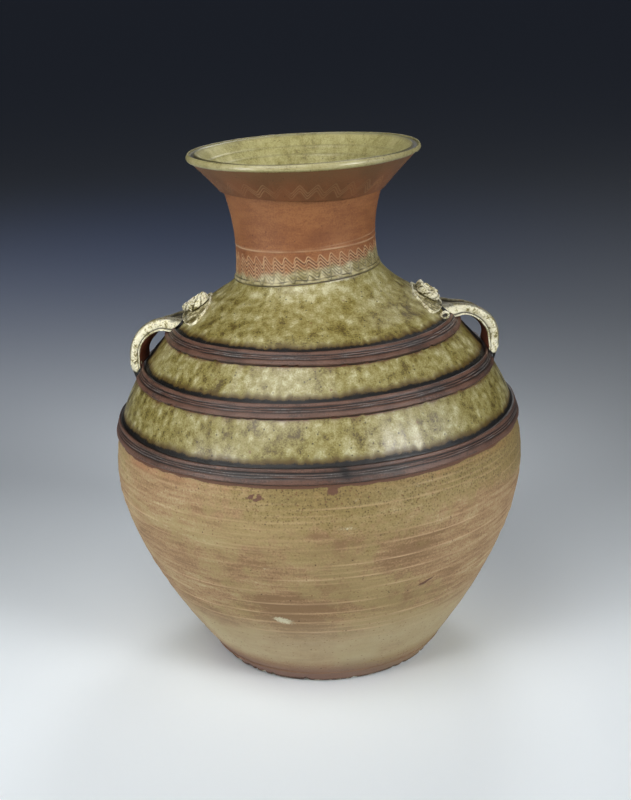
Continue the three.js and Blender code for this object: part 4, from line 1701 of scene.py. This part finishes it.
@dataclass
class RolledScroll:
    """Two spirals of rolled clay on a thin pad that runs down to a handle's root."""

    line: BodyLine
    glaze: bpy.types.Material
    side: Side
    tilt: float
    roll: float = 0.0036
    radius: float = 0.0096
    pitch: float = 0.0059
    turns: float = 0.95
    squeeze: float = 0.7
    tall: float = 1.8
    rope: float = 38.0
    rise: float = 0.110
    lift: float = 0.0003
    stations: int = 240
    pad_middle: float = -0.0012
    pad_reach: float = 0.0132
    pad_heights: tuple[float, float, float] = (-0.0135, -0.0035, 0.0125)
    pad_widths: tuple[float, float, float] = (0.038, 0.032, 0.0205)
    pad_edge: float = 0.0007

    def build(self) -> bpy.types.Object:
        """The scroll as a piece."""
        name = self.side.name.lower()
        made = piece(f"rolled_{name}_scroll", [self._coil(), self._pad()])
        settle(made, f"{name}_scroll", Slot.HANDLE_GLAZE, self.glaze)
        return made

    def _trace(self) -> np.ndarray:
        """The S that the roll follows, across and up the slope."""
        turn = np.linspace(0, self.turns, self.stations // 2)
        angle = math.pi - turn * 2 * math.pi
        reach = self.radius - turn * self.pitch
        across = self.squeeze * (self.radius + reach * np.cos(angle))
        spiral = np.stack([across, reach * np.sin(angle)], axis=1)
        whole = np.vstack([-spiral[:0:-1], spiral])
        lean = math.radians(self.tilt)
        return whole @ np.array([[math.cos(lean), math.sin(lean)], [-math.sin(lean), math.cos(lean)]])

    def _on_wall(self, across: np.ndarray, up: np.ndarray, off: np.ndarray) -> np.ndarray:
        """Places beside the wall.

        Args:
            across: Length round the jar from the scroll's middle.
            up: Length up the slope from it.
            off: Height above the wall.

        Returns:
            The places, on the scroll's side of the jar.
        """
        middle = self.line.belly_height + self.rise
        height = middle + up * float(self.line.climb(middle))
        angle = self.side.value + across / float(self.line.radius(middle))
        radius = self.line.radius(height) + self.line.climb(height) * off
        return np.stack([radius * np.cos(angle), radius * np.sin(angle),
                         height + self.line.lean(height) * off], axis=-1)

    def _coil(self) -> Sheet:
        """The roll of clay."""
        trace = self._trace()
        aim = np.gradient(trace, axis=0)
        aim /= np.linalg.norm(aim, axis=1, keepdims=True)
        run = np.linspace(-1, 1, len(trace))[:, None]
        lumps = 1 + 0.09 * np.sin(31 * run) * np.cos(13 * run)
        knob = 0.0014 * smooth(0.2, 0.9, trace[:, 1:] / self.radius)
        thick = self.roll / 2 * 0.94 * lumps * np.sqrt(np.clip(1.02 - run**18, 0.05, 1))
        turn = np.linspace(0, 2 * math.pi, 36, endpoint=False)[None, :]
        crease = smooth(0.55, 1.0, np.cos(2 * turn + self.rope * run))
        aside = thick * np.cos(turn) * (1 - 0.3 * crease)
        tall = np.where(np.sin(turn) < 0, 1.4, self.tall * (1 - 0.3 * crease))
        off = self.roll / 2 + self.lift + thick * np.sin(turn) * tall + knob * (np.sin(turn) > 0)
        places = self._on_wall(trace[:, :1] - aim[:, 1:] * aside, trace[:, 1:] + aim[:, :1] * aside, off)
        # Painted shade on the roll's underside and in its creases; the roll mark is lighter where there is
        # none.
        coil_shade = np.maximum(0.9 * smooth(-0.1, -0.8, np.sin(turn)), 0.55 * crease) * np.ones_like(aside)
        marks = {"groove": coil_shade, "bare": 0 * coil_shade, "roll": 1 - coil_shade, "top": 0.2 + 0 * coil_shade,
                 "pool": 0 * coil_shade}
        return Sheet(places, marks, capped=True)

    def _pad(self) -> Sheet:
        """The tongue of clay under it, narrow above and wide at the strap, with a thin raised edge."""
        ring = np.linspace(0.04, 1.0, 34)[:, None]
        turn = np.linspace(0, 2 * math.pi, 160, endpoint=False)[None, :]
        up = self.pad_middle + self.pad_reach * ring * np.sign(np.sin(turn)) * np.abs(np.sin(turn)) ** 0.6
        wide = np.interp(up, self.pad_heights, self.pad_widths)
        across = wide * ring * np.sign(np.cos(turn)) * np.abs(np.cos(turn)) ** 0.6
        edge = self.pad_edge * swell(ring - 0.94, 0.025)
        off = 0.0002 + edge - 0.002 * smooth(0.95, 1.0, ring) + 0 * turn
        # Painted shade under the roll on the pad's lower middle, and a thin painted dark line just inside the
        # raised edge.
        hollow = swell(across, 0.02) * smooth(-0.006, -0.011, up) * (ring < 0.8)
        pad_shade = np.maximum(0.3 * swell(ring - 0.9, 0.02), hollow)
        roll = 0.25 + 0.75 * swell(ring - 0.95, 0.03) + 0 * turn
        marks = {"groove": 0.8 * pad_shade, "bare": 0 * pad_shade, "roll": roll, "top": 0 * pad_shade,
                 "pool": 0 * pad_shade}
        places = self._on_wall(across, up, off)
        return Sheet(places[::-1], {name: mark[::-1] for name, mark in marks.items()}, capped=True)


@dataclass(frozen=True)
class Softbox:
    """A square softbox.

    Attributes:
        name: Its name.
        place: Where it hangs.
        aim: The point that it faces.
        size: Its side.
        power: Its power in watts.
        spread: How far its light fans out, in degrees.
        hue: Shade of its gel.
    """

    name: str
    place: tuple[float, float, float]
    aim: tuple[float, float, float]
    size: float
    power: float
    spread: float = 180.0
    hue: str = "ffffff"

    def hang(self) -> None:
        """Hangs the softbox in the scene."""
        light = bpy.data.lights.new(self.name, "AREA")
        light.spread = math.radians(self.spread)
        light.shape = "SQUARE"
        light.size = self.size
        light.energy = self.power
        light.color = tone(self.hue)[:3]
        lamp = bpy.data.objects.new(self.name, light)
        lamp.location = self.place
        lamp.rotation_euler = (Vector(self.aim) - Vector(self.place)).to_track_quat("-Z", "Y").to_euler()
        bpy.context.scene.collection.objects.link(lamp)


@dataclass
class Studio:
    """Pale floor, soft light and the camera."""

    floor: str = "f3fafe"
    floor_shade: str = "cfd4d6"
    floor_size: float = 90.0
    tooth: float = 900.0
    tooth_depth: float = 0.00005
    air: str = "7d8499"
    air_strength: float = 0.06
    lamps: tuple[Softbox, ...] = (
        Softbox("top_softbox", (-0.36, -0.62, 1.02), (-0.22, -0.45, 0.0), 0.8, 6.6),
        Softbox("high_softbox", (-0.24, -0.44, 1.4), (0.0, -0.05, 0.27), 0.35, 0.03, 40.0),
        Softbox("left_high_softbox", (-0.8, -1.05, 1.05), (-0.03, -0.1, 0.2), 0.5, 0.08, 40.0),
        Softbox("left_softbox", (-1.35, -0.85, 0.44), (0.0, 0.0, 0.2), 0.6, 1.4, 55.0),
        Softbox("right_softbox", (1.12, -1.02, 0.76), (0.03, -0.03, 0.2), 0.7, 1.3, 38.0),
        Softbox("right_sheen", (1.47, -0.37, 0.75), (0.06, -0.06, 0.2), 0.45, 0.1, 35.0, "eaf1ff"),
        Softbox("front_softbox", (-0.1, -1.9, 0.75), (0.0, -0.2, 0.12), 0.9, 0.6),
        Softbox("back_softbox", (0.25, 1.1, 1.2), (0.0, 0.0, 0.26), 0.5, 0.4, 40.0),
        Softbox("floor_wash", (-0.35, 1.3, 1.5), (-0.4, 1.2, 0.0), 0.8, 0.22, 80.0, "4a8cff"),
    )
    camera_place: tuple[float, float, float] = (-0.001, -0.920, 0.4739)
    pitch: float = 17.67
    roll: float = -3.0
    focus: float = 1361.9
    sensor: float = 36.0

    def build(self) -> None:
        """Sets the studio up."""
        self._floor()
        self._air()
        for lamp in self.lamps:
            lamp.hang()
        self._camera()
        bpy.context.scene.view_settings.view_transform = "Standard"

    def _floor(self) -> None:
        """Wide pale floor with the faint tooth of studio paper."""
        half = self.floor_size / 2
        mesh = bpy.data.meshes.new("paper_floor")
        corners = [(-half, -half, 0), (half, -half, 0), (half, half, 0), (-half, half, 0)]
        mesh.from_pydata(corners, [], [(0, 1, 2, 3)])
        floor = bpy.data.objects.new("paper_floor", mesh)
        bpy.context.scene.collection.objects.link(floor)
        r = Recipe("studio_paper")
        tooth = r.noise(r.place, self.tooth, 2, 0.5)
        colour = r.mix(tooth * 0.06, tone(self.floor), tone(self.floor_shade))
        mesh.materials.append(r.finish(colour, 0.85 + tooth * 0.05, tooth, self.tooth_depth))

    def _air(self) -> None:
        """Even light from all round."""
        world = bpy.data.worlds.new("studio_air")
        world.use_nodes = True
        shade = world.node_tree.nodes["Background"]
        shade.inputs["Color"].default_value = tone(self.air)
        shade.inputs["Strength"].default_value = self.air_strength
        bpy.context.scene.world = world

    def _camera(self) -> None:
        """Camera at the picture's angle, turned a little about its own axis."""
        lens = bpy.data.cameras.new("camera")
        lens.sensor_width = self.sensor
        lens.lens = self.focus * self.sensor / max(PICTURE)
        camera = bpy.data.objects.new("camera", lens)
        tip = Matrix.Rotation(math.radians(90 - self.pitch), 4, "X")
        turn = Matrix.Rotation(math.radians(self.roll), 4, "Z")
        camera.matrix_world = Matrix.Translation(self.camera_place) @ tip @ turn
        bpy.context.scene.collection.objects.link(camera)
        bpy.context.scene.camera = camera


def main() -> None:
    """Builds the jar piece by piece and sets it in the studio."""
    logging.basicConfig(level=logging.INFO, format="%(name)s %(message)s")
    line = BodyLine()
    neck = SoftNeck()
    slip = IronSlip().material()
    clay = BareClay().material()
    handle_glaze = HandleGlaze().material()
    lower = SlipBand(line, slip, "lower_band", rise=0.0315, seed=101, splash=6.3)
    middle = SlipBand(line, slip, "middle_band", rise=0.0679, seed=202)
    upper = SlipBand(line, slip, "upper_band", rise=0.0948, seed=303)
    BaseDisc(line, clay).build()
    LowerWall(line, clay, lower).build()
    ShoulderWall(line, AshGlaze().material(), (lower, middle, upper), neck).build()
    NeckCollar(NeckClay().material(), neck).build()
    FlaredMouth(MouthGlaze().material(), neck).build()
    for band in (lower, middle, upper):
        band.build()
    for side, twist, tilt in ((Side.RIGHT, -10.0, -14.0), (Side.LEFT, 18.0, 14.0)):
        StrapHandle(line, handle_glaze, side, twist).build()
        RolledScroll(line, handle_glaze, side, tilt).build()
    Studio().build()


if __name__ == "__main__":
    main()
